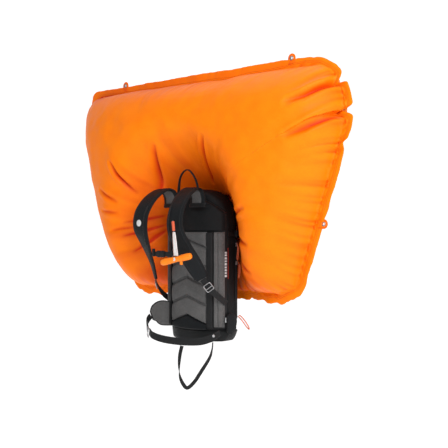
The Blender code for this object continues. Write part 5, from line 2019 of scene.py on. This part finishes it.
@dataclass
class Harness:
    """The straps and everything that hangs on them, the belt, and the carrying loop."""

    def build(self) -> None:
        """Make and hang every piece of the harness."""
        for side in Side:
            ShoulderStrap(side).build()
        self.haul_loop()
        self.chest_strap()
        self.fins()
        self.belt()
        self.hook_and_frame()

    def haul_loop(self) -> None:
        """The carrying loop between the strap roots."""
        span, y = 0.046, PAD_DEPTH + 0.001
        low = YOKE_TOP - 0.055 * (span / HALF_WIDTH) ** 2.6 + 0.0022
        top = 0.462
        stations = [((-span, y, low), (-1, 0, 0), 0.013),
                    ((-span, y, low + 0.022), (-1, 0, 0.1), 0.013),
                    ((-span + 0.007, y, top - 0.026), (-0.9, 0, 0.4), 0.009),
                    ((-span + 0.026, y, top - 0.003), (-0.4, 0, 0.9), 0.009),
                    ((0.004, y, top - 0.001), (0.3, 0, 0.95), 0.009),
                    ((span - 0.014, y, top - 0.030), (0.8, 0, 0.6), 0.009),
                    ((span - 0.001, y, low + 0.024), (1, 0, 0.15), 0.010),
                    ((span, y, low), (1, 0, 0), 0.010)]
        band = Ribbon(stations, 0.0028, steps=14)
        install(band.skin("haul_loop_tape"), WEBBING, Body.HAUL, ["haul_loop"])
        lines = [band.edge_line(0.0016, 0.0001, edge)[6:-6] for edge in (-1, 1)]
        ROWS.lay("haul_loop_stitches", lines, THREAD, Body.HAUL, Spacing=0.0036, Length=0.0024,
                 Thickness=0.00032)

    def chest_strap(self) -> None:
        """The sternum strap: sliders, webbing and the two halves of its buckle."""
        y, z, sag = -0.098, 0.190, 0.004
        low = z - sag
        for side in Side:
            k = side.value
            x0, x1 = sorted((k * 0.0462, k * 0.0558))
            block = moulded_block(f"slider_block_{side.word}", (x0, y - 0.0038, z - 0.0128),
                                  (x1, y + 0.0038, z + 0.0128), 0.0016)
            grips = [moulded_block(f"slider_grip_{side.word}_{i}",
                                   (x0 + 0.0012, y - 0.0045, z - 0.0095 + 0.0045 * i),
                                   (x1 - 0.0012, y - 0.0030, z - 0.0080 + 0.0045 * i), 0.0004, 2)
                     for i in range(5)]
            install(join(f"chest_slider_body_{side.word}", [block, *grips]), BLACK_MOULDING,
                    Body.CHEST, [f"chest_slider_{side.word}"])
        face = (0, -1, 0)
        right = Ribbon([((0.0450, y, z), face, 0.0158), ((0.038, y, z), face, 0.0158),
                        ((0.018, y - 0.001, low), face, 0.0158), ((0.0055, y, low), face, 0.0158),
                        ((-0.0001, y, low), face, 0.0158)], TAPE_DEPTH, 12)
        install(right.skin("chest_tape_right"), WEBBING, Body.CHEST, ["chest_webbing_right"])
        left = Ribbon([((-0.0456, y, low), face, 0.0158), ((-0.0354, y, low), face, 0.0158)],
                      TAPE_DEPTH, 12)
        install(left.skin("chest_tape_left"), WEBBING, Body.CHEST, ["chest_webbing_left"])
        socket = moulded_block("socket_body", (-0.0194, y - 0.0039, low - 0.0108),
                               (-0.0006, y + 0.0039, low + 0.0108), 0.0020)
        windows = [moulded_block(f"socket_rib_{i}", (-0.0180 + 0.005 * i, y - 0.0044, low - 0.0080),
                                 (-0.0160 + 0.005 * i, y - 0.0030, low + 0.0080), 0.0005, 2)
                   for i in range(3)]
        install(join("chest_socket", [socket, *windows]), BLACK_MOULDING, Body.CHEST,
                ["chest_buckle_socket"])
        plug = moulded_block("plug_body", (-0.0349, y - 0.0034, low - 0.0098),
                             (-0.0200, y + 0.0034, low + 0.0098), 0.0018)
        prongs = [moulded_block(f"plug_prong_{i}", (-0.0300, y - 0.0030, low + 0.0094 * k - 0.0016),
                                (-0.0205, y + 0.0030, low + 0.0094 * k + 0.0016), 0.0008, 2)
                  for i, k in enumerate((-1, 1))]
        install(join("chest_plug", [plug, *prongs]), BLACK_MOULDING, Body.CHEST,
                ["chest_buckle_plug"])

    def fins(self) -> None:
        """The hip fins, the left grey and the right black, with their black borders."""
        left = [((-0.092, 0.034, -0.024), (-0.75, 0.66, 0), 0.076),
                ((-0.107, 0.012, -0.020), (-0.8, 0.6, 0), 0.082),
                ((-0.118, -0.003, -0.018), (-0.85, 0.5, 0), 0.080),
                ((-0.125, -0.019, -0.020), (-0.95, 0.3, 0), 0.064),
                ((-0.128, -0.034, -0.026), (-0.98, 0.2, 0), 0.030)]
        right = [((0.1390, 0.050, -0.042), (1, 0, 0), 0.046),
                 ((0.1395, 0.062, -0.042), (1, 0, 0), 0.066),
                 ((0.1395, 0.078, -0.044), (1, 0, 0), 0.058),
                 ((0.1390, 0.092, -0.048), (1, 0.05, 0), 0.028)]
        for side, fin, depth in ((Side.LEFT, left, 0.0095), (Side.RIGHT, right, 0.0076)):
            band = Ribbon(fin, depth, steps=18)
            body = band.skin(f"hip_fin_pad_{side.word}", padded_section(0.96, 44))
            install(body, GREY_MESH if side is Side.LEFT else STRAP_CLOTH,
                    replaces=[f"hip_fin_{side.word}"])
            rim = []
            for edge in (1, -1):
                run = band.place(np.full((len(band.path), 1), 0.490 * edge),
                                 np.zeros((len(band.path), 1)))[:, 0]
                rim.append(run if edge > 0 else run[::-1])
            loop = np.vstack(rim)
            install(round_tube(f"hip_fin_border_{side.word}", loop, 0.0024, 10, closed=True),
                    BINDING)
            lines = [band.edge_line(0.0085, -0.0010, edge)[2:-4] for edge in (-1, 1)]
            ROWS.lay(f"hip_fin_stitches_{side.word}", lines, THREAD, Spacing=0.0040,
                     Length=0.0027, Thickness=0.00036)

    def belt(self) -> None:
        """The slack waist webbing with its edge stitches, and the short left one."""
        face_left = [((-0.1290, -0.0375, -0.027), (-1, 0.05, 0.1), 0.022),
                     ((-0.1290, -0.0480, -0.036), (-0.98, -0.1, 0), 0.022),
                     ((-0.1265, -0.0560, -0.045), (-0.9, -0.4, 0), 0.022)]
        install(Ribbon(face_left, TAPE_DEPTH, 12).skin("belt_tape_left"), WEBBING,
                replaces=["belt_webbing_left"])
        stations = [((-0.0950, -0.0750, -0.0735), (-0.5, -0.86, 0), 0.024),
                    ((-0.068, -0.0850, -0.0835), (-0.2, -1, 0), 0.024),
                    ((-0.020, -0.0800, -0.0925), (0.2, -1, 0), 0.024),
                    ((0.045, -0.0640, -0.0960), (0.4, -0.9, 0), 0.024),
                    ((0.095, -0.0360, -0.0945), (0.5, -0.85, 0), 0.024),
                    ((0.120, -0.0150, -0.0860), (0.7, -0.7, 0), 0.024),
                    ((0.131, -0.006, -0.080), (0.95, -0.3, 0), 0.024),
                    ((0.1345, 0.020, -0.0690), (1, -0.1, 0), 0.020)]
        band = Ribbon(stations, TAPE_DEPTH, steps=18)
        install(band.skin("belt_tape_right"), WEBBING, replaces=["belt_webbing_right"])
        lines = [band.edge_line(0.0026, 0.0001, edge) for edge in (-1, 1)]
        ROWS.lay("belt_stitches", lines, THREAD, Spacing=0.0040, Length=0.0026,
                 Thickness=0.00034)
        rivet = turned("belt_rivet", [(0.0001, 0.0030), (0.0030, 0.0027), (0.0046, 0.0016),
                                      (0.0048, 0.0004), (0.0001, 0.0)],
                       (0.1302, -0.0062, -0.0760), (0.95, -0.3, 0), 32)
        install(rivet, BRIGHT_STEEL)

    def hook_and_frame(self) -> None:
        """The hook buckle at the left fin and the metal frame that it holds."""
        hook = Ribbon([((-0.1256, -0.0566, -0.0468), (-0.8, -0.6, 0), 0.030),
                       ((-0.1180, -0.0640, -0.0580), (-0.7, -0.7, 0), 0.034),
                       ((-0.1080, -0.0700, -0.0680), (-0.6, -0.8, 0), 0.030)], 0.0039, 14)
        body = hook.skin("hook_plate")
        ribs = [round_tube(f"hook_rib_{i}", hook.place(np.full((len(hook.path), 1), share),
                                                       np.full((len(hook.path), 1), 0.48))[:, 0],
                           0.0008, 8) for i, share in enumerate((-0.36, -0.12, 0.12, 0.36))]
        install(join("belt_hook_body", [body, *ribs]), BLACK_MOULDING, replaces=["belt_hook"])
        out_way = Vector((-0.5, -0.86, 0)).normalized()
        run = Vector((0.016, -0.009, -0.010)).normalized()
        across = run.cross(out_way).normalized()
        run = out_way.cross(across)
        centre = Vector((-0.0920, -0.0795, -0.0750)) + out_way * 0.003
        ring = rounded_rectangle(centre, across, run, 0.0328, 0.0208, 0.0040, 7)
        frame_part = round_tube("belt_frame_ring", ring, 0.00158, 12, closed=True)
        install(frame_part, BRIGHT_STEEL, Body.BELT_FRAME, ["belt_frame"])


# ---- release, zip, small straps and cords --------------------------------------------------

LEAD_TOP = np.array([0.090, -0.1445, 0.257])
PULL_WAY = np.array(Vector((0.0, 0.12, -0.9928)).normalized())
HANDLE_WAY = np.array(Vector((0.90, 0.36, 0.22)).normalized())
LEG_ROUTE = ((0.0457, -0.0645, -0.1095), (0.0400, -0.0680, -0.1400), (0.0377, -0.0696, -0.1780),
             (0.0403, -0.0679, -0.2090), (0.0500, -0.0618, -0.2340), (0.0619, -0.0543, -0.2440),
             (0.0805, -0.0425, -0.2240), (0.0968, -0.0322, -0.1950), (0.1214, -0.0167, -0.1480),
             (0.1290, -0.0119, -0.1200), (0.1310, -0.0106, -0.0965))
GEAR_ROUTE = ((0.112, 0.1395, -0.022), (0.116, 0.147, -0.027), (0.125, 0.158, -0.044),
              (0.133, 0.165, -0.062), (0.130, 0.170, -0.070), (0.123, 0.166, -0.063),
              (0.114, 0.158, -0.046), (0.107, 0.149, -0.032), (0.104, 0.1430, -0.026))
ZIP_Y = 0.105
ZIP_FACE = HALF_WIDTH * (1 - abs((ZIP_Y - 0.006 - PACK_MIDDLE) / 0.075) ** 3) ** (1 / 3) + GAP


def cord_loop(name: str, node: str, route: Sequence[Point], diameter: float, finish: Finish,
              body: Body) -> None:
    """Args:
        name: the piece's name.
        node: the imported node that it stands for.
        route: the points that it passes.
        diameter: the cord's thickness.
        finish: its finish.
        body: the body that it rides on.
    """
    path = spline(route, 9)
    item = round_tube(name, path, diameter * 0.48, 14)
    install(item, finish, body, [node])


@dataclass
class LegLoop:
    """The narrow crotch strap that hangs in a long twisted loop."""

    width: float = 0.012

    def build(self) -> None:
        """Make the loop and its edge stitches."""
        plane, inward = np.array([-0.53, 0.85, 0.0]), np.array([0.85, 0.53, 0.0])
        turns = np.radians([0, 10, 50, 110, 150, 165, 170, 160, 130, 100, 90])
        stations = [(p, plane * math.cos(t) + inward * math.sin(t), self.width)
                    for p, t in zip(LEG_ROUTE, turns)]
        band = Ribbon(stations, TAPE_DEPTH, steps=14)
        item = band.skin("leg_loop_tape")
        install(item, WEBBING, Body.LEG, ["leg_loop"])
        lines = [band.edge_line(0.0018, 0.0001, edge) for edge in (-1, 1)]
        ROWS.lay("leg_loop_stitches", lines, THREAD, Body.LEG, Spacing=0.0040, Length=0.0026,
                 Thickness=0.00030)


@dataclass
class Release:
    """The T-handle on its white lead, with the orange sleeve that the cable comes out of."""

    length: float = 0.108
    radius: float = 0.011

    def build(self) -> None:
        """Make and hang the release's pieces."""
        face = (0, -1, -0.12)
        end = LEAD_TOP + PULL_WAY * 0.074
        lead = Ribbon([(LEAD_TOP, face, 0.0098), (LEAD_TOP + PULL_WAY * 0.02, face, 0.0138),
                       (end, face, 0.0188)], 0.0038, 20)
        install(lead.skin("white_lead_tape"), WHITE_TAPE, Body.RELEASE, ["release_lead"])
        lines = [lead.edge_line(0.0018, 0.0001, edge) for edge in (-1, 1)]
        ROWS.lay("lead_stitches", lines, ORANGE_THREAD, Body.RELEASE, Spacing=0.0040,
                 Length=0.0026, Thickness=0.00036)
        grip = LEAD_TOP + PULL_WAY * (0.074 + self.radius + GAP)
        half = self.length / 2
        profile = [(0.0002, -half), (0.0040, -half + 0.0003), (0.0074, -half + 0.0018),
                   (0.0092, -half + 0.0045), (0.0104, -half + 0.0100),
                   (0.0109, -half + 0.0165), (0.0104, -half + 0.0250), (0.0095, -0.0160),
                   (0.0087, -0.0040), (0.0087, 0.0040), (0.0095, 0.0160),
                   (0.0104, half - 0.0250), (0.0109, half - 0.0165), (0.0104, half - 0.0100),
                   (0.0092, half - 0.0045), (0.0074, half - 0.0018), (0.0040, half - 0.0003),
                   (0.0002, half)]
        bar = turned("grip_bar", profile, grip, HANDLE_WAY, 48)
        stub = grip + HANDLE_WAY * 0.016 + PULL_WAY * 0.005
        tongue = Ribbon([(stub, face, 0.0100), (stub + PULL_WAY * 0.0155, face, 0.0088)], 0.0058, 8)
        ridges = []
        for k in (-1, 1):
            for i in range(4):
                at = grip + HANDLE_WAY * k * (0.022 + 0.0055 * i)
                ridges.append(turned(f"grip_ridge_{k}_{i}", [
                    (0.0080, -0.0009), (0.01085, -0.0004), (0.01085, 0.0004), (0.0080, 0.0009)],
                    at, HANDLE_WAY, 40, closed=True))
        install(join("grip_moulding", [bar, tongue.skin("grip_stub"), *ridges]), ORANGE_GRIP,
                Body.RELEASE, ["release_handle"])
        spot = turned("grip_spot", [(0.0001, 0.0014), (0.0052, 0.0012), (0.0056, 0.0004),
                                    (0.0001, 0.0)],
                      grip + np.array([0.0, -0.0086, 0.0]), (0, -1, 0.05), 32)
        install(spot, WHITE_TAPE, Body.RELEASE)
        ring = [(0.0024, 0.0), (0.0042, 0.0002), (0.0045, 0.0010), (0.0045, 0.0290),
                (0.0040, 0.0300), (0.0024, 0.0300)]
        sleeve = turned("sleeve_tube", ring, LEAD_TOP - PULL_WAY * 0.004, -PULL_WAY, 32,
                        closed=True)
        install(sleeve, CORD_ORANGE, replaces=["lead_sleeve"])


@dataclass
class SideFittings:
    """The side zip with its sliders, the compression strap and the flaps round the port."""

    def build(self) -> None:
        """Make and hang every side fitting."""
        self.zip()
        self.sliders()
        self.compression()
        self.flaps()
        cord_loop("gear_cord", "gear_loop", GEAR_ROUTE, 0.0036, CORD_ORANGE, Body.PACK)

    def zip(self) -> None:
        """The zip's tape and its two rows of teeth."""
        low, high = -0.0298, 0.2318
        tape = moulded_block("zip_tape", (ZIP_FACE + 0.0001, ZIP_Y - 0.0059, low),
                             (ZIP_FACE + 0.0008, ZIP_Y + 0.0059, high), 0.0002, 1)
        install(tape, BINDING_HARD, replaces=["zip_track"])
        z = np.linspace(low + 0.001, high - 0.001, 60)
        lines = [np.column_stack([np.full(60, ZIP_FACE + 0.0009), np.full(60, ZIP_Y + side), z])
                 for side in (-0.0009, 0.0009)]
        ROWS.lay("zip_teeth", lines, BLACK_MOULDING, Spacing=0.0022, Length=0.0012,
                 Thickness=0.0010, Sides=4)
        seams = [np.column_stack([np.full(60, ZIP_FACE + 0.0008), np.full(60, ZIP_Y + side), z])
                 for side in (-0.0048, 0.0048)]
        ROWS.lay("zip_stitches", seams, THREAD, Spacing=0.0036, Length=0.0024, Thickness=0.0003)

    def sliders(self) -> None:
        """Both sliders with their bridges, and the pull cords that hang from them."""
        base = ZIP_FACE + 0.0012 + GAP
        for word, z, y, body in (("upper", 0.215, ZIP_Y - 0.0035, Body.ZIP_UPPER),
                                 ("lower", 0.155, ZIP_Y + 0.0035, Body.ZIP_LOWER)):
            shell = moulded_block(f"slider_shell_{word}",
                                  (base + 0.0001, ZIP_Y - 0.0048, z - 0.0068),
                                  (base + 0.0024, ZIP_Y + 0.0048, z + 0.0068), 0.0009)
            bridge = round_tube(f"slider_bridge_{word}", spline([
                (base + 0.0022, ZIP_Y, z - 0.0045), (base + 0.0036, ZIP_Y, z - 0.0030),
                (base + 0.0037, ZIP_Y, z + 0.0030), (base + 0.0022, ZIP_Y, z + 0.0045)], 6),
                0.0008, 10)
            install(join(f"zip_slider_{word}_metal", [shell, bridge]), BRIGHT_STEEL, body,
                    [f"zip_slider_{word}"])
            px = base + 0.004 + GAP + 0.0012
            route = ((px, y, z + 0.003), (px + 0.003, y, z - 0.002),
                     (px + 0.0035, y - 0.001, z - 0.020), (px + 0.003, y - 0.003, z - 0.040),
                     (px + 0.002, y, z - 0.050), (px + 0.003, y + 0.003, z - 0.040),
                     (px + 0.0065, y + 0.001, z - 0.020), (px + 0.0065, y, z - 0.006))
            cord_loop(f"pull_cord_{word}", f"zip_pull_{word}", route, 0.0024, CORD_ORANGE, body)

    def compression(self) -> None:
        """The upper compression strap and its side-release buckle."""
        z, sx = 0.250, HALF_WIDTH + TAPE_DEPTH / 2 + 0.0006
        band = Ribbon([((sx, 0.062, z), (1, 0, 0), 0.0148), ((sx, 0.078, z), (1, 0, 0), 0.0148),
                       ((sx - 0.0006, 0.0968, z), (1, 0.03, 0), 0.0148)], TAPE_DEPTH * 0.96, 14)
        install(band.skin("compression_tape"), WEBBING, replaces=["compression_strap"])
        body = moulded_block("buckle_body", (sx - 0.0019, 0.0980, z - 0.0118),
                             (sx + 0.0056, 0.1168, z + 0.0118), 0.0020)
        ribs = [moulded_block(f"buckle_rib_{i}", (sx + 0.0050, 0.1000 + 0.0042 * i, z - 0.0085),
                              (sx + 0.0064, 0.1016 + 0.0042 * i, z + 0.0085), 0.0005, 2)
                for i in range(4)]
        install(join("buckle", [body, *ribs]), BLACK_MOULDING, replaces=["compression_buckle"])

    def flaps(self) -> None:
        """The fabric flaps that close over the port."""
        port = NECK_RADIUS + 0.014
        for side in Side:
            k = side.value
            rings = []
            for i in range(25):
                across = k * (port + 0.0024 + 0.0292 * i / 24)
                heights = NECK_HEIGHT - 0.0546 + 0.0992 * np.linspace(0, 1, 33)
                scale = np.array([body_scale(float(h)) for h in heights])
                half = HALF_WIDTH * scale
                rear = 0.075 * (0.35 + 0.65 * scale)
                y = PACK_MIDDLE + rear * (1 - np.minimum(abs(across) / half, 0.999) ** 3) ** (1 / 3)
                crown = 0.0010 * smooth(0, 3, min(i, 24 - i))
                near = np.column_stack([np.full(33, across), y + 0.0007, heights])
                far = np.column_stack([np.full(33, across), y + 0.0012 + crown, heights])[::-1]
                rings.append(np.vstack([near, far]))
            rings = np.array(rings)
            item = tube_mesh(f"port_flap_{side.word}", rings, rings[..., [0, 2]], sharp=60)
            install(item, BODY_CLOTH, replaces=[f"airbag_flap_{side.word}"])


class Inflation:
    """The inflation system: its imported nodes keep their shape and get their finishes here."""

    FINISHES = {
        "back_board": BLACK_MOULDING, "inflator_body": BLACK_MOULDING,
        "intake_grille": BLACK_MOULDING, "check_valve_disc": RUBBER, "valve_block": ALLOY,
        "gas_cartridge": RED_ENAMEL, "firing_plunger": BRIGHT_STEEL,
        "plunger_spring": BRIGHT_STEEL, "arming_lever": RED_ENAMEL, "feed_pipe": ALLOY,
        "cable_gland": ALLOY, "cable_sleeve": RUBBER, "neck_clamp": BRIGHT_STEEL,
        "frame_sheet": BLACK_MOULDING, "frame_stay_left": ALLOY, "frame_stay_right": ALLOY,
        "release_cable": BRIGHT_STEEL,
    }

    def build(self) -> None:
        """Give each kept node its finish."""
        for node, finish in self.FINISHES.items():
            item = bpy.data.objects[node]
            item.data.materials.clear()
            item.data.materials.append(finish.material())
            LOG.info("%s: kept, with %s", node, finish.name)


# ---- studio --------------------------------------------------------------------------------

@dataclass
class Studio:
    """Camera, soft lights and a pale sweep."""

    azimuth: float = 42.0
    distance: float = 2.83

    def build(self) -> None:
        """Make the camera, the lights, the floor and the world."""
        angle = math.radians(self.azimuth)
        right = Vector((math.cos(angle), math.sin(angle), 0.0))
        ahead = Vector((-math.sin(angle), math.cos(angle), 0.0))
        place = right * 0.113 - ahead * self.distance + Vector((0.0, 0.02, 0.27))
        lens = bpy.data.cameras.new("camera")
        lens.sensor_width = 36.0
        lens.lens = 68.3
        lens.shift_y = 0.0089
        lens.clip_end = 40.0
        camera = bpy.data.objects.new("camera", lens)
        turn = Matrix((right, Vector((0, 0, 1)), -ahead)).transposed()
        camera.matrix_world = Matrix.Translation(place) @ turn.to_4x4()
        bpy.context.scene.collection.objects.link(camera)
        bpy.context.scene.camera = camera
        middle = Vector((-0.02, 0.10, 0.30))
        self.light("key", middle - ahead * 2.4 + right * 0.7 + Vector((0, 0, 1.2)), middle, 1.5, 46)
        self.light("fill", middle - ahead * 2.0 + right * 2.0 + Vector((0, 0, 0.3)), middle, 2.0, 9)
        self.light("top", middle + ahead * 0.4 + Vector((0, 0, 2.4)), middle, 1.8, 16)
        self.world()
        self.sweep(right, ahead)

    @staticmethod
    def light(name: str, place: Vector, target: Vector, size: float, power: float) -> None:
        """Hang one soft square light that faces a target.

        Args:
            name: the light's name.
            place: where it stands.
            target: what it faces.
            size: its width.
            power: its strength.
        """
        lamp = bpy.data.lights.new(name, "AREA")
        lamp.shape = "SQUARE"
        lamp.size = size
        lamp.energy = power
        item = bpy.data.objects.new(name, lamp)
        item.location = place
        item.rotation_euler = (target - place).to_track_quat("-Z", "Y").to_euler()
        bpy.context.scene.collection.objects.link(item)

    @staticmethod
    def world() -> None:
        """A pale even world."""
        made = bpy.data.worlds.new("studio_world")
        made.use_nodes = True
        back = made.node_tree.nodes["Background"]
        back.inputs["Color"].default_value = (1.0, 1.0, 1.0, 1.0)
        back.inputs["Strength"].default_value = 0.48
        tree = NodeTree(made.node_tree)
        seen = tree.node("ShaderNodeLightPath").outputs["Is Camera Ray"]
        tree.feed(back.inputs["Strength"], tree.remap(seen, 0.0, 1.0, 0.48, 1.0))
        bpy.context.scene.world = made
        bpy.context.scene.view_settings.view_transform = "Standard"

    @staticmethod
    def sweep(right: Vector, ahead: Vector) -> None:
        """The plain pale floor that turns up behind the object.

        Args:
            right, ahead: the camera's level directions.
        """
        profile = [(-7.0, 0.0), (0.6, 0.0), (2.2, 0.05), (3.8, 0.25), (5.2, 0.75), (6.3, 1.7),
                   (6.9, 3.0), (7.2, 6.0)]
        line = spline([(a, 0, b) for a, b in profile], 8)
        rows = []
        for side in (-9.0, 9.0):
            rows.append([tuple(ahead * p[0] + right * side + Vector((0, 0, p[2] - 0.62)))
                         for p in line])
        points = np.array(rows[0] + rows[1])
        count = len(line)
        faces = [[i, i + 1, count + i + 1, count + i] for i in range(count - 1)]
        mesh = bpy.data.meshes.new("sweep")
        mesh.from_pydata(points.tolist(), [], faces)
        mesh.shade_smooth()
        floor = bpy.data.objects.new("sweep", mesh)
        bpy.context.scene.collection.objects.link(floor)
        pale = bpy.data.materials.new("pale_paper")
        pale.use_nodes = True
        shader = pale.node_tree.nodes["Principled BSDF"]
        shader.inputs["Base Color"].default_value = (0.94, 0.94, 0.94, 1.0)
        shader.inputs["Roughness"].default_value = 0.95
        shader.inputs["Specular IOR Level"].default_value = 0.1
        shader.inputs["Emission Color"].default_value = (1.0, 1.0, 1.0, 1.0)
        shader.inputs["Emission Strength"].default_value = 0.45
        floor.data.materials.append(pale)


def main() -> None:
    """Build the whole look, cords and camera first."""
    Studio().build()
    LegLoop().build()
    SideFittings().build()
    AirbagParts().build()
    PackBody().build()
    BackSystem().build()
    Harness().build()
    Release().build()
    Inflation().build()


ROWS = RowMaker()

if __name__ == "__main__":
    main()
